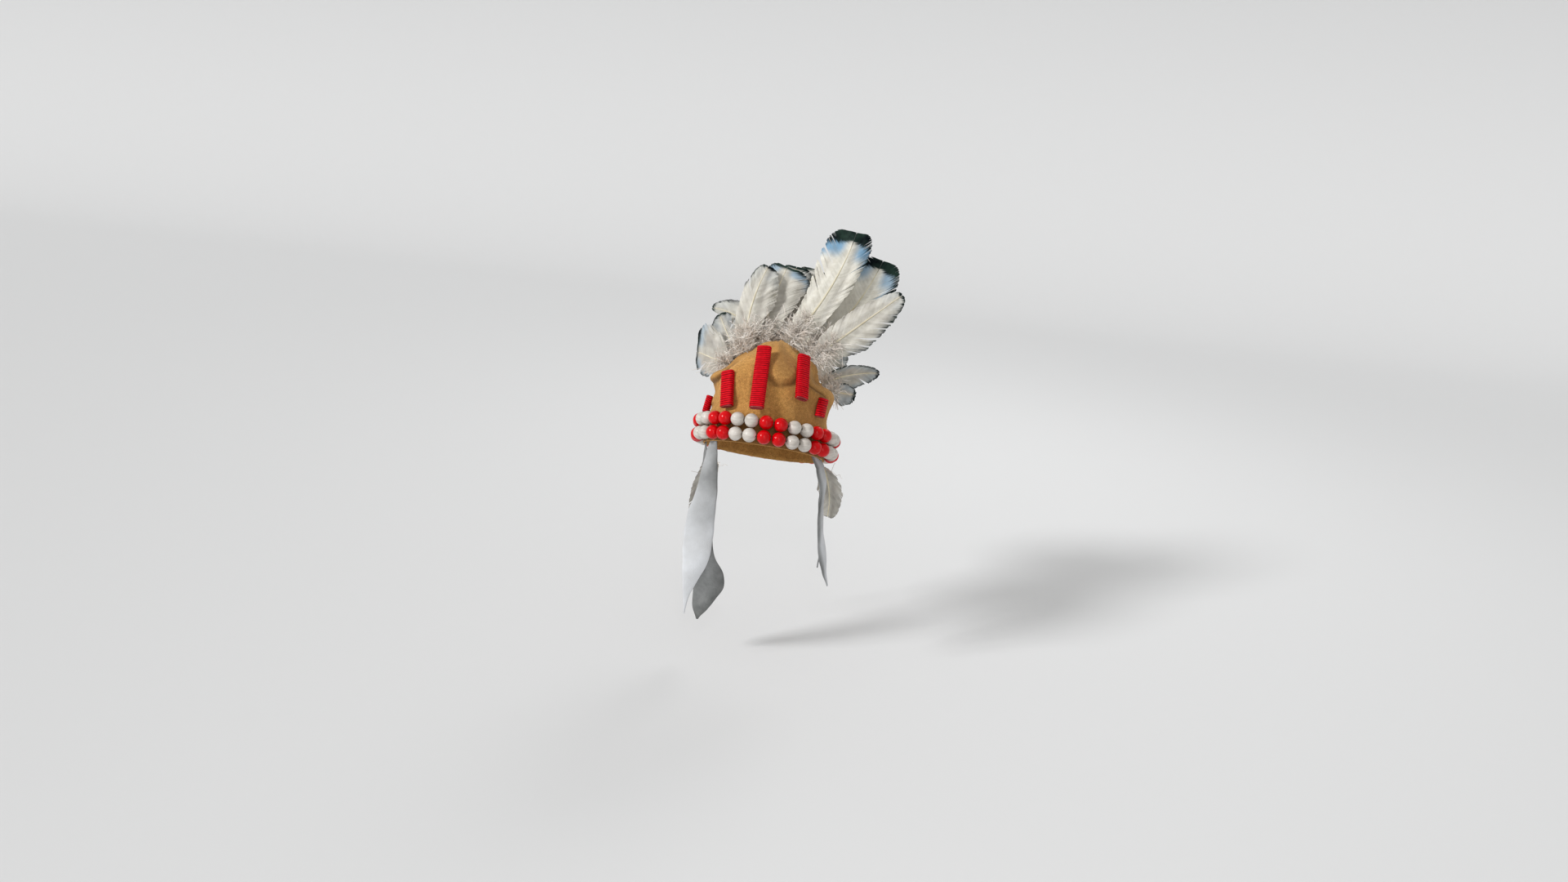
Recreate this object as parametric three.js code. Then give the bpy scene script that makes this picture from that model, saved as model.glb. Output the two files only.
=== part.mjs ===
// Feathered headdress: a soft felt crown with a two-row bead band, five cord-wrapped bars,
// a spray of feathers, and leather strips and feathers that hang at the sides.
// Millimetres. Z is up, the front faces -Y and the wearer's left is +X.
// The origin is the middle of the crown's open rim, where the head goes in.
import * as THREE from "three";

// Crown
const HEAD_HALF_WIDTH = 78;
const HEAD_HALF_LENGTH = 86;
const CROWN_HEIGHT = 148;
const FELT_WALL = 2.5;
const FOLD_DEPTH = 7;
const GATHERS = 8;
const GATHER_DEPTH = 2.2;
const CAP_TILT = 24.5;

// Bead band
const BEAD_DIAMETER = 18;
const BEAD_SPACE = 0.2;
const THREAD_DIAMETER = 3;
const ROW_SPACE = 0.5;
const BEAD_SHIFT = -0.16;

// Wrapped bars
const BAR_LENGTH = 86;
const BAR_WIDTH = 18;
const BAR_DEPTH = 10;
const BAR_WALL = 2.6;

// Feathers
const FEATHER_LENGTH = 188;
const FEATHER_WIDTH = 60;
const QUILL_DIAMETER = 3.6;
const VANE_THICKNESS = 1.2;
const DOWN_THICKNESS = 7;

// Side strips
const STRIP_LENGTH = 250;
const STRIP_WIDTH = 39;
const STRIP_THICKNESS = 1.6;
const STRIP_LAP = 12;
const STRIP_BULGE = 0.16;

// Room left between pieces that touch
const CLEARANCE = 0.3;

// Mesh steps
const CROWN_STEPS = 38;
const BEAD_SIDES = 10;

// Heights and half widths of the crown, as shares of its height and of its rim
const CROWN_SECTIONS = [
  { rise: 0.0, width: 1.0, length: 1.0 },
  { rise: 0.14, width: 1.0, length: 1.0 },
  { rise: 0.25, width: 0.985, length: 0.985 },
  { rise: 0.34, width: 0.95, length: 0.96 },
  { rise: 0.45, width: 0.955, length: 0.945 },
  { rise: 0.56, width: 0.975, length: 0.94 },
  { rise: 0.64, width: 0.9, length: 0.91 },
  { rise: 0.72, width: 0.75, length: 0.85 },
  { rise: 0.8, width: 0.58, length: 0.76 },
  { rise: 0.88, width: 0.41, length: 0.62 },
  { rise: 0.94, width: 0.29, length: 0.44 },
  { rise: 0.98, width: 0.17, length: 0.26 },
  { rise: 1.0, width: 0.0, length: 0.0 },
];

// Soft bulges and creases: where they sit (degrees round from the front, share of the height),
// how far they reach, and how far they push, as a share of the fold depth
const CROWN_FOLDS = [
  { turn: 18, rise: 0.8, spread: 13, tall: 0.15, push: 1.0 },
  { turn: 21, rise: 0.56, spread: 15, tall: 0.03, push: -0.6 },
  { turn: 4, rise: 0.8, spread: 5, tall: 0.15, push: -0.6 },
  { turn: -24, rise: 0.6, spread: 13, tall: 0.14, push: 0.6 },
  { turn: -46, rise: 0.74, spread: 8, tall: 0.1, push: -0.8 },
  { turn: -70, rise: 0.6, spread: 14, tall: 0.06, push: 0.7 },
  { turn: -70, rise: 0.48, spread: 15, tall: 0.04, push: -0.4 },
  { turn: 48, rise: 0.74, spread: 10, tall: 0.08, push: 0.7 },
  { turn: 62, rise: 0.64, spread: 10, tall: 0.05, push: -0.7 },
  { turn: 82, rise: 0.56, spread: 16, tall: 0.07, push: 0.6 },
  { turn: 135, rise: 0.6, spread: 16, tall: 0.1, push: 0.7 },
  { turn: 180, rise: 0.66, spread: 14, tall: 0.12, push: -0.5 },
  { turn: 225, rise: 0.58, spread: 16, tall: 0.1, push: 0.7 },
];

// Bars: degrees round from the front, height of the bottom end as a share of the crown's height,
// length and width as shares of the centre bar's, and the lean of the top to the wearer's left
const BARS = [
  { name: "wrapped_bar_far_right", turn: -80.5, rise: 0.265, length: 0.27, width: 0.95, lean: 1 },
  { name: "wrapped_bar_right", turn: -28, rise: 0.285, length: 0.55, width: 1.08, lean: -9 },
  { name: "wrapped_bar_centre", turn: 1, rise: 0.26, length: 1.0, width: 1.04, lean: -4 },
  { name: "wrapped_bar_left", turn: 34.5, rise: 0.4, length: 0.73, width: 0.98, lean: 9.5 },
  { name: "wrapped_bar_far_left", turn: 62, rise: 0.34, length: 0.29, width: 0.88, lean: -2 },
];

// Crown feathers: seat on the crown (shares of its half width and half length), length and width
// (shares), lean to the wearer's left and to the back (degrees), sideways bow, backward curl,
// how far the vane turns, its fullest place along the feather, how blunt its tip is, and how far
// the vane sits to the wearer's left of the shaft
const FEATHERS = [
  { name: "feather_tall", x: 0.1, y: -0.06, length: 0.975, width: 1.0, lean: 22.3,
    back: 6, bow: 0.055, curl: 0, turn: 0, full: 0.88, blunt: 0.97, offset: -0.08 },
  { name: "feather_left_inner", x: 0.37, y: 0.12, length: 0.95, width: 1.06, lean: 29.5,
    back: 8, bow: 0.06, curl: 0, turn: 4, full: 0.85, blunt: 0.95, offset: -0.05 },
  { name: "feather_left_middle", x: 0.5, y: -0.06, length: 0.84, width: 0.88, lean: 45,
    back: 8, bow: 0, curl: 0, turn: 6, full: 0.5, blunt: 0.3, offset: 0.14 },
  { name: "feather_left_outer", x: 0.67, y: 0.47, length: 0.44, width: 0.52, lean: 67.5,
    back: 6, bow: -0.04, curl: 0, turn: 8, full: 0.65, blunt: 0.4, offset: 0.15 },
  { name: "feather_left_low", x: 0.84, y: 0.34, length: 0.2, width: 0.5, lean: 89,
    back: 12, bow: 0, curl: 0, turn: 0, full: 0.6, blunt: 0.5, offset: 0.1 },
  { name: "feather_right_inner", x: -0.36, y: 0.0, length: 0.645, width: 1.02, lean: 9.5,
    back: 6, bow: -0.03, curl: 0, turn: -4, full: 0.88, blunt: 0.98, offset: 0.15 },
  { name: "feather_right_front", x: -0.53, y: -0.12, length: 0.69, width: 0.8, lean: 4.5,
    back: 5, bow: -0.07, curl: 0, turn: -6, full: 0.72, blunt: 0.6, offset: 0.2 },
  { name: "feather_middle_back", x: -0.16, y: 0.17, length: 0.68, width: 0.78, lean: 6,
    back: 9, bow: 0, curl: 0, turn: 0, full: 0.85, blunt: 0.9, offset: 0 },
  { name: "feather_behind_tall", x: 0.04, y: 0.26, length: 0.62, width: 0.95, lean: 11,
    back: 10, bow: 0, curl: 0, turn: 0, full: 0.85, blunt: 0.9, offset: 0 },
  { name: "feather_right_high", x: -0.42, y: 0.24, length: 0.55, width: 0.72, lean: -48,
    back: 9, bow: 0.2, curl: 0, turn: -10, full: 0.45, blunt: 0.05, offset: 0.3 },
  { name: "feather_right_middle", x: -0.65, y: 0.1, length: 0.435, width: 0.7, lean: -32,
    back: 10, bow: 0, curl: 0, turn: -10, full: 0.6, blunt: 0.6, offset: 0 },
  { name: "feather_right_outer", x: -0.75, y: -0.08, length: 0.285, width: 1.1, lean: -64,
    back: 8, bow: 0, curl: 0, turn: -8, full: 0.8, blunt: 0.97, offset: 0.1 },
  { name: "feather_back_right", x: -0.6, y: 0.52, length: 0.56, width: 0.8, lean: -32,
    back: 34, bow: 0, curl: 0.1, turn: -20, full: 0.7, blunt: 0.5, offset: 0 },
  { name: "feather_back_middle_right", x: -0.26, y: 0.62, length: 0.64, width: 0.85, lean: -12,
    back: 38, bow: 0, curl: 0.1, turn: -8, full: 0.7, blunt: 0.5, offset: 0 },
  { name: "feather_back_middle_left", x: 0.12, y: 0.68, length: 0.64, width: 0.85, lean: 8,
    back: 40, bow: 0, curl: 0.1, turn: 6, full: 0.7, blunt: 0.5, offset: 0 },
  { name: "feather_back_left", x: 0.46, y: 0.64, length: 0.54, width: 0.8, lean: 24,
    back: 38, bow: 0, curl: 0.1, turn: 16, full: 0.7, blunt: 0.5, offset: 0 },
];

// Feathers that hang from the rim, placed by degrees round from the front, and then as above
const HANGING_FEATHERS = [
  { name: "hanging_feather_left", seat: 110, length: 0.41, width: 0.56, lean: 11, back: 0,
    bow: -0.08, curl: 0, turn: 12, full: 0.55, blunt: 0.7, offset: 0 },
  { name: "hanging_feather_right", seat: -112, length: 0.64, width: 0.52, lean: -12, back: 0,
    bow: 0.0, curl: 0, turn: -12, full: 0.55, blunt: 0.5, offset: 0 },
];

// Side strips: each row is a height below the rim (share of the strip's length), a shift to the
// wearer's left and to the back and a width (shares of the strip width) and a turn in degrees
const STRIPS = [
  { name: "side_strip_front_right", seat: -47, length: 1.0, rows: [
    { drop: 0.06, left: -0.02, back: 0.0, width: 0.45, face: -24 },
    { drop: 0.17, left: -0.07, back: -0.02, width: 0.56, face: -6 },
    { drop: 0.28, left: -0.12, back: -0.04, width: 0.72, face: 4 },
    { drop: 0.4, left: -0.25, back: -0.05, width: 0.92, face: 8 },
    { drop: 0.55, left: -0.32, back: -0.05, width: 1.0, face: 10 },
    { drop: 0.68, left: -0.38, back: -0.04, width: 0.87, face: 10 },
    { drop: 0.79, left: -0.52, back: -0.03, width: 0.54, face: 8 },
    { drop: 0.89, left: -0.64, back: -0.02, width: 0.22, face: 4 },
    { drop: 1.0, left: -0.69, back: 0.0, width: 0.04, face: 0 },
  ] },
  { name: "side_strip_back_right", seat: -76, length: 1.02, rows: [
    { drop: 0.06, left: 0.04, back: -0.05, width: 0.5, face: -60 },
    { drop: 0.2, left: 0.07, back: -0.1, width: 0.62, face: -45 },
    { drop: 0.4, left: 0.17, back: -0.14, width: 0.78, face: -30 },
    { drop: 0.55, left: 0.16, back: -0.15, width: 0.72, face: -16 },
    { drop: 0.63, left: 0.22, back: -0.15, width: 0.84, face: -10 },
    { drop: 0.71, left: 0.39, back: -0.15, width: 1.1, face: -8 },
    { drop: 0.79, left: 0.4, back: -0.15, width: 1.13, face: -8 },
    { drop: 0.87, left: 0.26, back: -0.15, width: 0.85, face: -8 },
    { drop: 0.94, left: 0.13, back: -0.14, width: 0.54, face: -8 },
    { drop: 1.0, left: 0.07, back: -0.14, width: 0.08, face: -8 },
  ] },
  { name: "side_strip_front_left", seat: 70, length: 0.72, rows: [
    { drop: 0.07, left: 0.2, back: 0.0, width: 0.48, face: 70 },
    { drop: 0.2, left: 0.34, back: 0.0, width: 0.6, face: 78 },
    { drop: 0.38, left: 0.36, back: 0.0, width: 0.68, face: 84 },
    { drop: 0.58, left: 0.43, back: 0.02, width: 0.7, face: 84 },
    { drop: 0.78, left: 0.56, back: 0.06, width: 0.58, face: 80 },
    { drop: 0.9, left: 0.66, back: 0.1, width: 0.34, face: 76 },
    { drop: 1.0, left: 0.8, back: 0.14, width: 0.06, face: 70 },
  ] },
  { name: "side_strip_back_left", seat: 92, length: 0.61, rows: [
    { drop: 0.07, left: 0.05, back: 0.04, width: 0.48, face: 88 },
    { drop: 0.2, left: 0.08, back: 0.06, width: 0.56, face: 90 },
    { drop: 0.4, left: 0.1, back: 0.06, width: 0.6, face: 92 },
    { drop: 0.62, left: 0.16, back: 0.04, width: 0.56, face: 92 },
    { drop: 0.84, left: 0.24, back: 0.0, width: 0.34, face: 90 },
    { drop: 1.0, left: 0.21, back: -0.04, width: 0.06, face: 90 },
  ] },
];

const RIM_HALF_WIDTH = HEAD_HALF_WIDTH + FELT_WALL;
const RIM_HALF_LENGTH = HEAD_HALF_LENGTH + FELT_WALL;
const radians = THREE.MathUtils.degToRad;

// A closed mesh from rings of points that all have the same count, with a fan at each end.
function loft(rings) {
  const count = rings[0].length;
  const positions = rings.flat().flatMap((point) => point.toArray());
  const faces = [];
  for (let ring = 0; ring + 1 < rings.length; ring += 1) {
    for (let i = 0; i < count; i += 1) {
      const a = ring * count + i;
      const b = ring * count + ((i + 1) % count);
      faces.push(a, b, b + count, a, b + count, a + count);
    }
  }
  const last = (rings.length - 1) * count;
  for (let i = 1; i + 1 < count; i += 1) {
    faces.push(0, i + 1, i, last, last + i, last + i + 1);
  }
  return indexed(positions, faces);
}

function indexed(positions, faces) {
  const geometry = new THREE.BufferGeometry();
  geometry.setAttribute("position", new THREE.Float32BufferAttribute(positions, 3));
  geometry.setIndex(faces);
  geometry.computeVertexNormals();
  return geometry;
}

// A smooth value read from one column of a table, through the rows on either side.
function readColumn(rows, key, column, at) {
  let i = 0;
  while (i + 2 < rows.length && rows[i + 1][key] < at) i += 1;
  const span = rows[i + 1][key] - rows[i][key];
  const t = THREE.MathUtils.clamp((at - rows[i][key]) / span, 0, 1);
  const before = rows[Math.max(i - 1, 0)][column];
  const after = rows[Math.min(i + 2, rows.length - 1)][column];
  const from = rows[i][column];
  const to = rows[i + 1][column];
  const slopeFrom = (to - before) / 2;
  const slopeTo = (after - from) / 2;
  const cubic = 2 * from - 2 * to + slopeFrom + slopeTo;
  const square = 3 * to - 3 * from - 2 * slopeFrom - slopeTo;
  return ((cubic * t + square) * t + slopeFrom) * t + from;
}

// How far the folds and the gathers push the felt out, at an angle and a height share.
function foldPush(turn, rise) {
  let push = 0;
  for (const fold of CROWN_FOLDS) {
    const away = turn - radians(fold.turn);
    const a = Math.atan2(Math.sin(away), Math.cos(away)) / radians(fold.spread);
    const b = (rise - fold.rise) / fold.tall;
    push += fold.push * FOLD_DEPTH * Math.exp(-(a * a + b * b) / 2);
  }
  const gathered =
    THREE.MathUtils.smoothstep(rise, 0.6, 0.9) * (1 - THREE.MathUtils.smoothstep(rise, 0.94, 1));
  return push + GATHER_DEPTH * gathered * Math.cos(GATHERS * turn);
}

// A point of the felt, turn round from the front and rise up it, inset from the outer face.
function crownPoint(turn, rise, inset = 0) {
  const width = readColumn(CROWN_SECTIONS, "rise", "width", rise);
  const length = readColumn(CROWN_SECTIONS, "rise", "length", rise);
  // The nearer the top, the more a push goes up rather than out.
  const lift = THREE.MathUtils.smoothstep(rise, 0.45, 0.97);
  const push = foldPush(turn, rise) - inset;
  const out = push * Math.min(1 - 0.7 * lift, width * 3);
  return new THREE.Vector3(
    Math.sin(turn) * (RIM_HALF_WIDTH * width + out),
    -Math.cos(turn) * (RIM_HALF_LENGTH * length + out),
    rise * CROWN_HEIGHT + push * lift,
  );
}

function crownGeometry() {
  const rises = [0, 0.14, 0.28, 0.36, 0.44, 0.5, 0.56, 0.62, 0.68, 0.74, 0.8, 0.86, 0.91, 0.95, 0.98];
  const skin = (inset) =>
    rises.map((rise) =>
      Array.from({ length: CROWN_STEPS }, (_, i) =>
        crownPoint((i / CROWN_STEPS) * Math.PI * 2, rise, inset),
      ),
    );
  const outer = skin(0);
  const inner = skin(FELT_WALL);
  // Down the inside, round the rim and up the outside.
  return loft([...inner.reverse(), ...outer]);
}

// The height of the crown above a place given by shares of its half width and half length.
function crownTop(x, y) {
  const place = new THREE.Vector2(x * RIM_HALF_WIDTH, y * RIM_HALF_LENGTH);
  let low = 0.3;
  let high = 0.98;
  const surface = (rise) => crownPoint(crownTurn(place, rise), rise);
  for (let step = 0; step < 30; step += 1) {
    const middle = (low + high) / 2;
    const point = surface(middle);
    if (Math.hypot(point.x, point.y) > place.length()) low = middle;
    else high = middle;
  }
  return new THREE.Vector3(place.x, place.y, surface(low).z);
}

function crownTurn(place, rise) {
  const width = readColumn(CROWN_SECTIONS, "rise", "width", rise);
  const length = readColumn(CROWN_SECTIONS, "rise", "length", rise);
  return Math.atan2(place.x / (RIM_HALF_WIDTH * width), -place.y / (RIM_HALF_LENGTH * length));
}

// One row of beads on its thread, fused into a ring that closes on itself.
function beadStringGeometry(height) {
  const away = CLEARANCE + BEAD_DIAMETER / 2;
  const front = -Math.PI / 2;
  const path = new THREE.EllipseCurve(
    0, 0, RIM_HALF_WIDTH + away, RIM_HALF_LENGTH + away, front, front + Math.PI * 2);
  path.arcLengthDivisions = 2000;
  const pitch = BEAD_DIAMETER + BEAD_SPACE;
  const beads = 4 * Math.floor(path.getLength() / (4 * pitch));
  const profile = [
    { along: -0.5, radius: THREAD_DIAMETER / 2 },
    { along: -0.38, radius: BEAD_DIAMETER * 0.335 },
    { along: 0, radius: BEAD_DIAMETER / 2 },
    { along: 0.38, radius: BEAD_DIAMETER * 0.335 },
  ];
  const positions = [];
  const faces = [];
  const rings = beads * profile.length;
  for (let bead = 0; bead < beads; bead += 1) {
    for (const step of profile) {
      const share = ((bead + BEAD_SHIFT + step.along + 1) / beads) % 1;
      const centre = path.getPointAt(share);
      const tangent = path.getTangentAt(share);
      for (let i = 0; i < BEAD_SIDES; i += 1) {
        const around = (i / BEAD_SIDES) * Math.PI * 2;
        const out = Math.cos(around) * step.radius;
        positions.push(centre.x + tangent.y * out, centre.y - tangent.x * out);
        positions.push(height + Math.sin(around) * step.radius);
      }
    }
  }
  for (let ring = 0; ring < rings; ring += 1) {
    const next = (ring + 1) % rings;
    for (let i = 0; i < BEAD_SIDES; i += 1) {
      const j = (i + 1) % BEAD_SIDES;
      const a = ring * BEAD_SIDES;
      const b = next * BEAD_SIDES;
      faces.push(a + i, b + j, a + j, a + i, b + i, b + j);
    }
  }
  return indexed(positions, faces);
}

// A flattened tube, open at both ends, for the cord to be wound on.
function barGeometry(length, width) {
  const outline = (halfWidth, halfDepth, path) => {
    const steps = 16;
    for (let i = 0; i < steps; i += 1) {
      const a = ((i + 0.5) / steps) * Math.PI * 2;
      const x = Math.sign(Math.cos(a)) * Math.sqrt(Math.abs(Math.cos(a))) * halfWidth;
      const y = Math.sign(Math.sin(a)) * Math.sqrt(Math.abs(Math.sin(a))) * halfDepth;
      if (i === 0) path.moveTo(x, y);
      else path.lineTo(x, y);
    }
    path.closePath();
    return path;
  };
  const shape = outline(width / 2, BAR_DEPTH / 2, new THREE.Shape());
  shape.holes.push(outline(width / 2 - BAR_WALL, BAR_DEPTH / 2 - BAR_WALL, new THREE.Path()));
  return new THREE.ExtrudeGeometry(shape, { depth: length, bevelEnabled: false });
}

// A bar stood against the crown, as near as its whole length allows.
function barMesh(row) {
  const length = BAR_LENGTH * row.length;
  const width = BAR_WIDTH * row.width;
  const turn = radians(row.turn);
  const foot = crownPoint(turn, row.rise);
  const headRise = Math.min(row.rise + length / CROWN_HEIGHT, 0.84);
  const head = crownPoint(turn, headRise);
  const outward = new THREE.Vector3(
    Math.sin(turn) / RIM_HALF_WIDTH, -Math.cos(turn) / RIM_HALF_LENGTH, 0).normalize();
  const up = head.clone().sub(foot).normalize().applyAxisAngle(outward, -radians(row.lean));
  const across = up.clone().cross(outward).normalize();
  const front = across.clone().cross(up).normalize();
  const inward = front.clone().negate();
  let standoff = 0;
  for (let i = 0; i <= 24; i += 1) {
    for (let side = -4; side <= 4; side += 1) {
      const place = foot.clone()
        .addScaledVector(up, (i / 24) * length)
        .addScaledVector(across, (side / 8) * width);
      standoff = Math.max(standoff, standoffAt(place, front));
    }
  }
  const mesh = new THREE.Mesh(barGeometry(length, width), redCord.clone());
  mesh.name = row.name;
  const middle = foot.addScaledVector(front, standoff + CLEARANCE + BAR_DEPTH / 2);
  mesh.quaternion.setFromRotationMatrix(new THREE.Matrix4().makeBasis(across, inward, up));
  mesh.position.copy(middle);
  return mesh;
}

// How far a place has to move outward before it is outside the felt.
function standoffAt(place, outward) {
  const rise = THREE.MathUtils.clamp(place.z / CROWN_HEIGHT, 0, 0.98);
  const felt = crownPoint(crownTurn(place, rise), rise);
  const deeper = Math.hypot(felt.x, felt.y) - Math.hypot(place.x, place.y);
  const radial = new THREE.Vector3(place.x, place.y, 0).normalize();
  return deeper * Math.max(0, radial.dot(outward));
}

// Where a quill, let down along its feather, stops just clear of the felt.
function quillSeat(start, direction, side, bow) {
  const depth = direction.clone().cross(side).normalize();
  // A bowed shaft leaves its seat at a slant, which tips the quill's end.
  const across = side.clone().addScaledVector(direction, -4 * bow).normalize();
  const down = direction.clone().negate();
  const caster = new THREE.Raycaster();
  let drop = Infinity;
  for (let i = 0; i < 16; i += 1) {
    const around = (i / 8) * Math.PI * 2;
    const reach = (QUILL_DIAMETER / 2) * (i < 8 ? 1 : 0.5);
    const from = start.clone()
      .addScaledVector(across, Math.cos(around) * reach)
      .addScaledVector(depth, Math.sin(around) * reach);
    caster.set(from, down);
    const [hit] = caster.intersectObject(crown, false);
    if (hit) drop = Math.min(drop, hit.distance);
  }
  return start.clone().addScaledVector(down, drop - CLEARANCE);
}

// A feather from its quill end: a shaft with a thin cambered vane, downy at the foot.
function featherGeometry(base, direction, side, row) {
  const length = FEATHER_LENGTH * row.length;
  const width = FEATHER_WIDTH * row.width;
  const depth = direction.clone().cross(side).normalize();
  const shaft = (s) =>
    base.clone()
      .addScaledVector(direction, length * s)
      .addScaledVector(side, length * row.bow * 4 * s * (1 - s))
      .addScaledVector(depth, length * row.curl * s * s);
  const turn = radians(row.turn);
  const places = [0, 0.05, 0.12, 0.22, 0.36, 0.52, 0.68, 0.82, 0.93, 0.985, 1];
  const rings = places.map((s) => {
    const tangent = shaft(s + 0.01).sub(shaft(s - 0.01)).normalize();
    const across = side.clone().multiplyScalar(Math.cos(turn)).addScaledVector(depth, Math.sin(turn));
    across.addScaledVector(tangent, -across.dot(tangent)).normalize();
    const front = across.clone().cross(tangent);
    const grow = THREE.MathUtils.smoothstep(s, 0.04, row.full);
    const tip = Math.pow(Math.max(0, (1 - s) / (1 - row.full)), 0.5 - 0.35 * row.blunt);
    const foot = THREE.MathUtils.smoothstep(s, 0.045, 0.16);
    const quill = (QUILL_DIAMETER / 2) * (1 - 0.72 * s);
    const spread = quill + (width / 2) * (0.44 + 0.56 * grow) * Math.min(1, tip) * foot;
    const downy = (DOWN_THICKNESS / 2) * Math.min(1, row.width) * Math.exp(-(((s - 0.13) / 0.07) ** 2));
    const thick = THREE.MathUtils.lerp(quill * 0.7, VANE_THICKNESS / 2 + downy, foot);
    const ridge = Math.max(quill, thick);
    const camber = 0.14 * (spread - quill);
    const lop = row.offset * spread * grow * foot;
    const offsets = [
      [-1, 0, -1], [-0.5, thick, -0.25], [0, ridge, 0], [0.5, thick, -0.25],
      [1, 0, -1], [0.5, -thick, -0.25], [0, -ridge, 0], [-0.5, -thick, -0.25],
    ];
    const centre = shaft(s);
    return offsets.map(([out, rise, drop]) =>
      centre.clone()
        .addScaledVector(across, out * spread + (out ? lop : 0))
        .addScaledVector(front, rise + drop * camber),
    );
  });
  return loft(rings);
}

function crownFeatherMesh(row) {
  const lean = radians(row.lean);
  const back = radians(row.back);
  const direction = new THREE.Vector3(
    Math.sin(lean) * Math.cos(back), Math.sin(back), Math.cos(lean) * Math.cos(back));
  const side = new THREE.Vector3(Math.cos(lean), 0, -Math.sin(lean));
  const above = crownTop(row.x, row.y).addScaledVector(direction, QUILL_DIAMETER * 3);
  const seat = quillSeat(above, direction, side, row.bow);
  const mesh = new THREE.Mesh(featherGeometry(seat, direction, side, row), ivory.clone());
  mesh.name = row.name;
  return mesh;
}

// A place on the rim, in the upright frame of the pieces that hang.
function rimPoint(turn, inset, height) {
  const point = crownPoint(turn, 0, inset);
  point.z = height;
  return point.applyAxisAngle(new THREE.Vector3(1, 0, 0), -radians(CAP_TILT));
}

function hangingFeatherMesh(row) {
  const lean = radians(row.lean);
  const direction = new THREE.Vector3(Math.sin(lean), 0, -Math.cos(lean));
  const side = new THREE.Vector3(-Math.cos(lean), 0, -Math.sin(lean));
  const seat = rimPoint(radians(row.seat), FELT_WALL / 2, -CLEARANCE - QUILL_DIAMETER / 4);
  const mesh = new THREE.Mesh(featherGeometry(seat, direction, side, row), ivory.clone());
  mesh.name = row.name;
  return mesh;
}

// A leather strip: tucked up inside the rim, then hanging straight down through its rows.
function stripMesh(row) {
  const columns = 5;
  const turn = radians(row.seat);
  const inset = FELT_WALL + CLEARANCE + STRIP_THICKNESS / 2;
  const foot = rimPoint(turn, inset, 0);
  const first = row.rows[0];
  const lap = first.width * STRIP_WIDTH;
  const sections = [];
  for (const height of [STRIP_LAP, 0]) {
    const line = [];
    for (let i = 0; i < columns; i += 1) {
      const share = i / (columns - 1) - 0.5;
      const at = turn + (share * lap) / ((HEAD_HALF_WIDTH + HEAD_HALF_LENGTH) / 2);
      const centre = rimPoint(at, inset, height);
      const out = rimPoint(at, inset - 1, height).sub(centre).normalize();
      line.push({ centre, out });
    }
    sections.push(line);
  }
  for (const step of row.rows) {
    const facing = radians(step.face);
    const along = new THREE.Vector3(Math.cos(facing), Math.sin(facing), 0);
    const out = new THREE.Vector3(Math.sin(facing), -Math.cos(facing), 0);
    const centre = foot.clone();
    centre.x += step.left * STRIP_WIDTH;
    centre.y += step.back * STRIP_WIDTH;
    centre.z -= step.drop * STRIP_LENGTH * row.length;
    const half = (step.width * STRIP_WIDTH) / 2;
    const line = [];
    for (let i = 0; i < columns; i += 1) {
      const share = (i / (columns - 1)) * 2 - 1;
      const bulge = STRIP_BULGE * half * (1 - share * share);
      const point = centre.clone().addScaledVector(along, share * half).addScaledVector(out, bulge);
      line.push({ centre: point, out });
    }
    sections.push(line);
  }
  const face = (line, way) =>
    line.map(({ centre, out }) => centre.clone().addScaledVector(out, (way * STRIP_THICKNESS) / 2));
  const rings = sections.map((line) => [...face(line, 1).reverse(), ...face(line, -1)]);
  const mesh = new THREE.Mesh(loft(rings), leather.clone());
  mesh.name = row.name;
  return mesh;
}

const felt = new THREE.MeshStandardMaterial({ color: 0xb08748, roughness: 0.95, metalness: 0 });
const redCord = new THREE.MeshStandardMaterial({ color: 0xb5121b, roughness: 0.7, metalness: 0 });
const beadGlass = new THREE.MeshStandardMaterial({ color: 0xd9d3cc, roughness: 0.3, metalness: 0 });
const ivory = new THREE.MeshStandardMaterial({ color: 0xd9d3c4, roughness: 0.85, metalness: 0 });
const leather = new THREE.MeshStandardMaterial({ color: 0xe6e4e0, roughness: 0.75, metalness: 0 });

const headdress = new THREE.Group();
const cap = new THREE.Group();
cap.rotation.x = -radians(CAP_TILT);
headdress.add(cap);

const crown = new THREE.Mesh(crownGeometry(), felt);
crown.name = "felt_crown";
cap.add(crown);

const rowHeights = { bead_string_lower: 0, bead_string_upper: 1 };
for (const [name, row] of Object.entries(rowHeights)) {
  const height = BEAD_DIAMETER / 2 + row * (BEAD_DIAMETER + ROW_SPACE);
  const beads = new THREE.Mesh(beadStringGeometry(height), beadGlass.clone());
  beads.name = name;
  cap.add(beads);
}

for (const row of BARS) cap.add(barMesh(row));
for (const row of FEATHERS) cap.add(crownFeatherMesh(row));
for (const row of HANGING_FEATHERS) headdress.add(hangingFeatherMesh(row));
for (const row of STRIPS) headdress.add(stripMesh(row));

export default headdress;
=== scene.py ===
# Feathered headdress, dressed over its solids. Sizes are in millimetres unless a name says metres.
import math

import bpy
import numpy as np
from mathutils import Matrix, Vector


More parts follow.
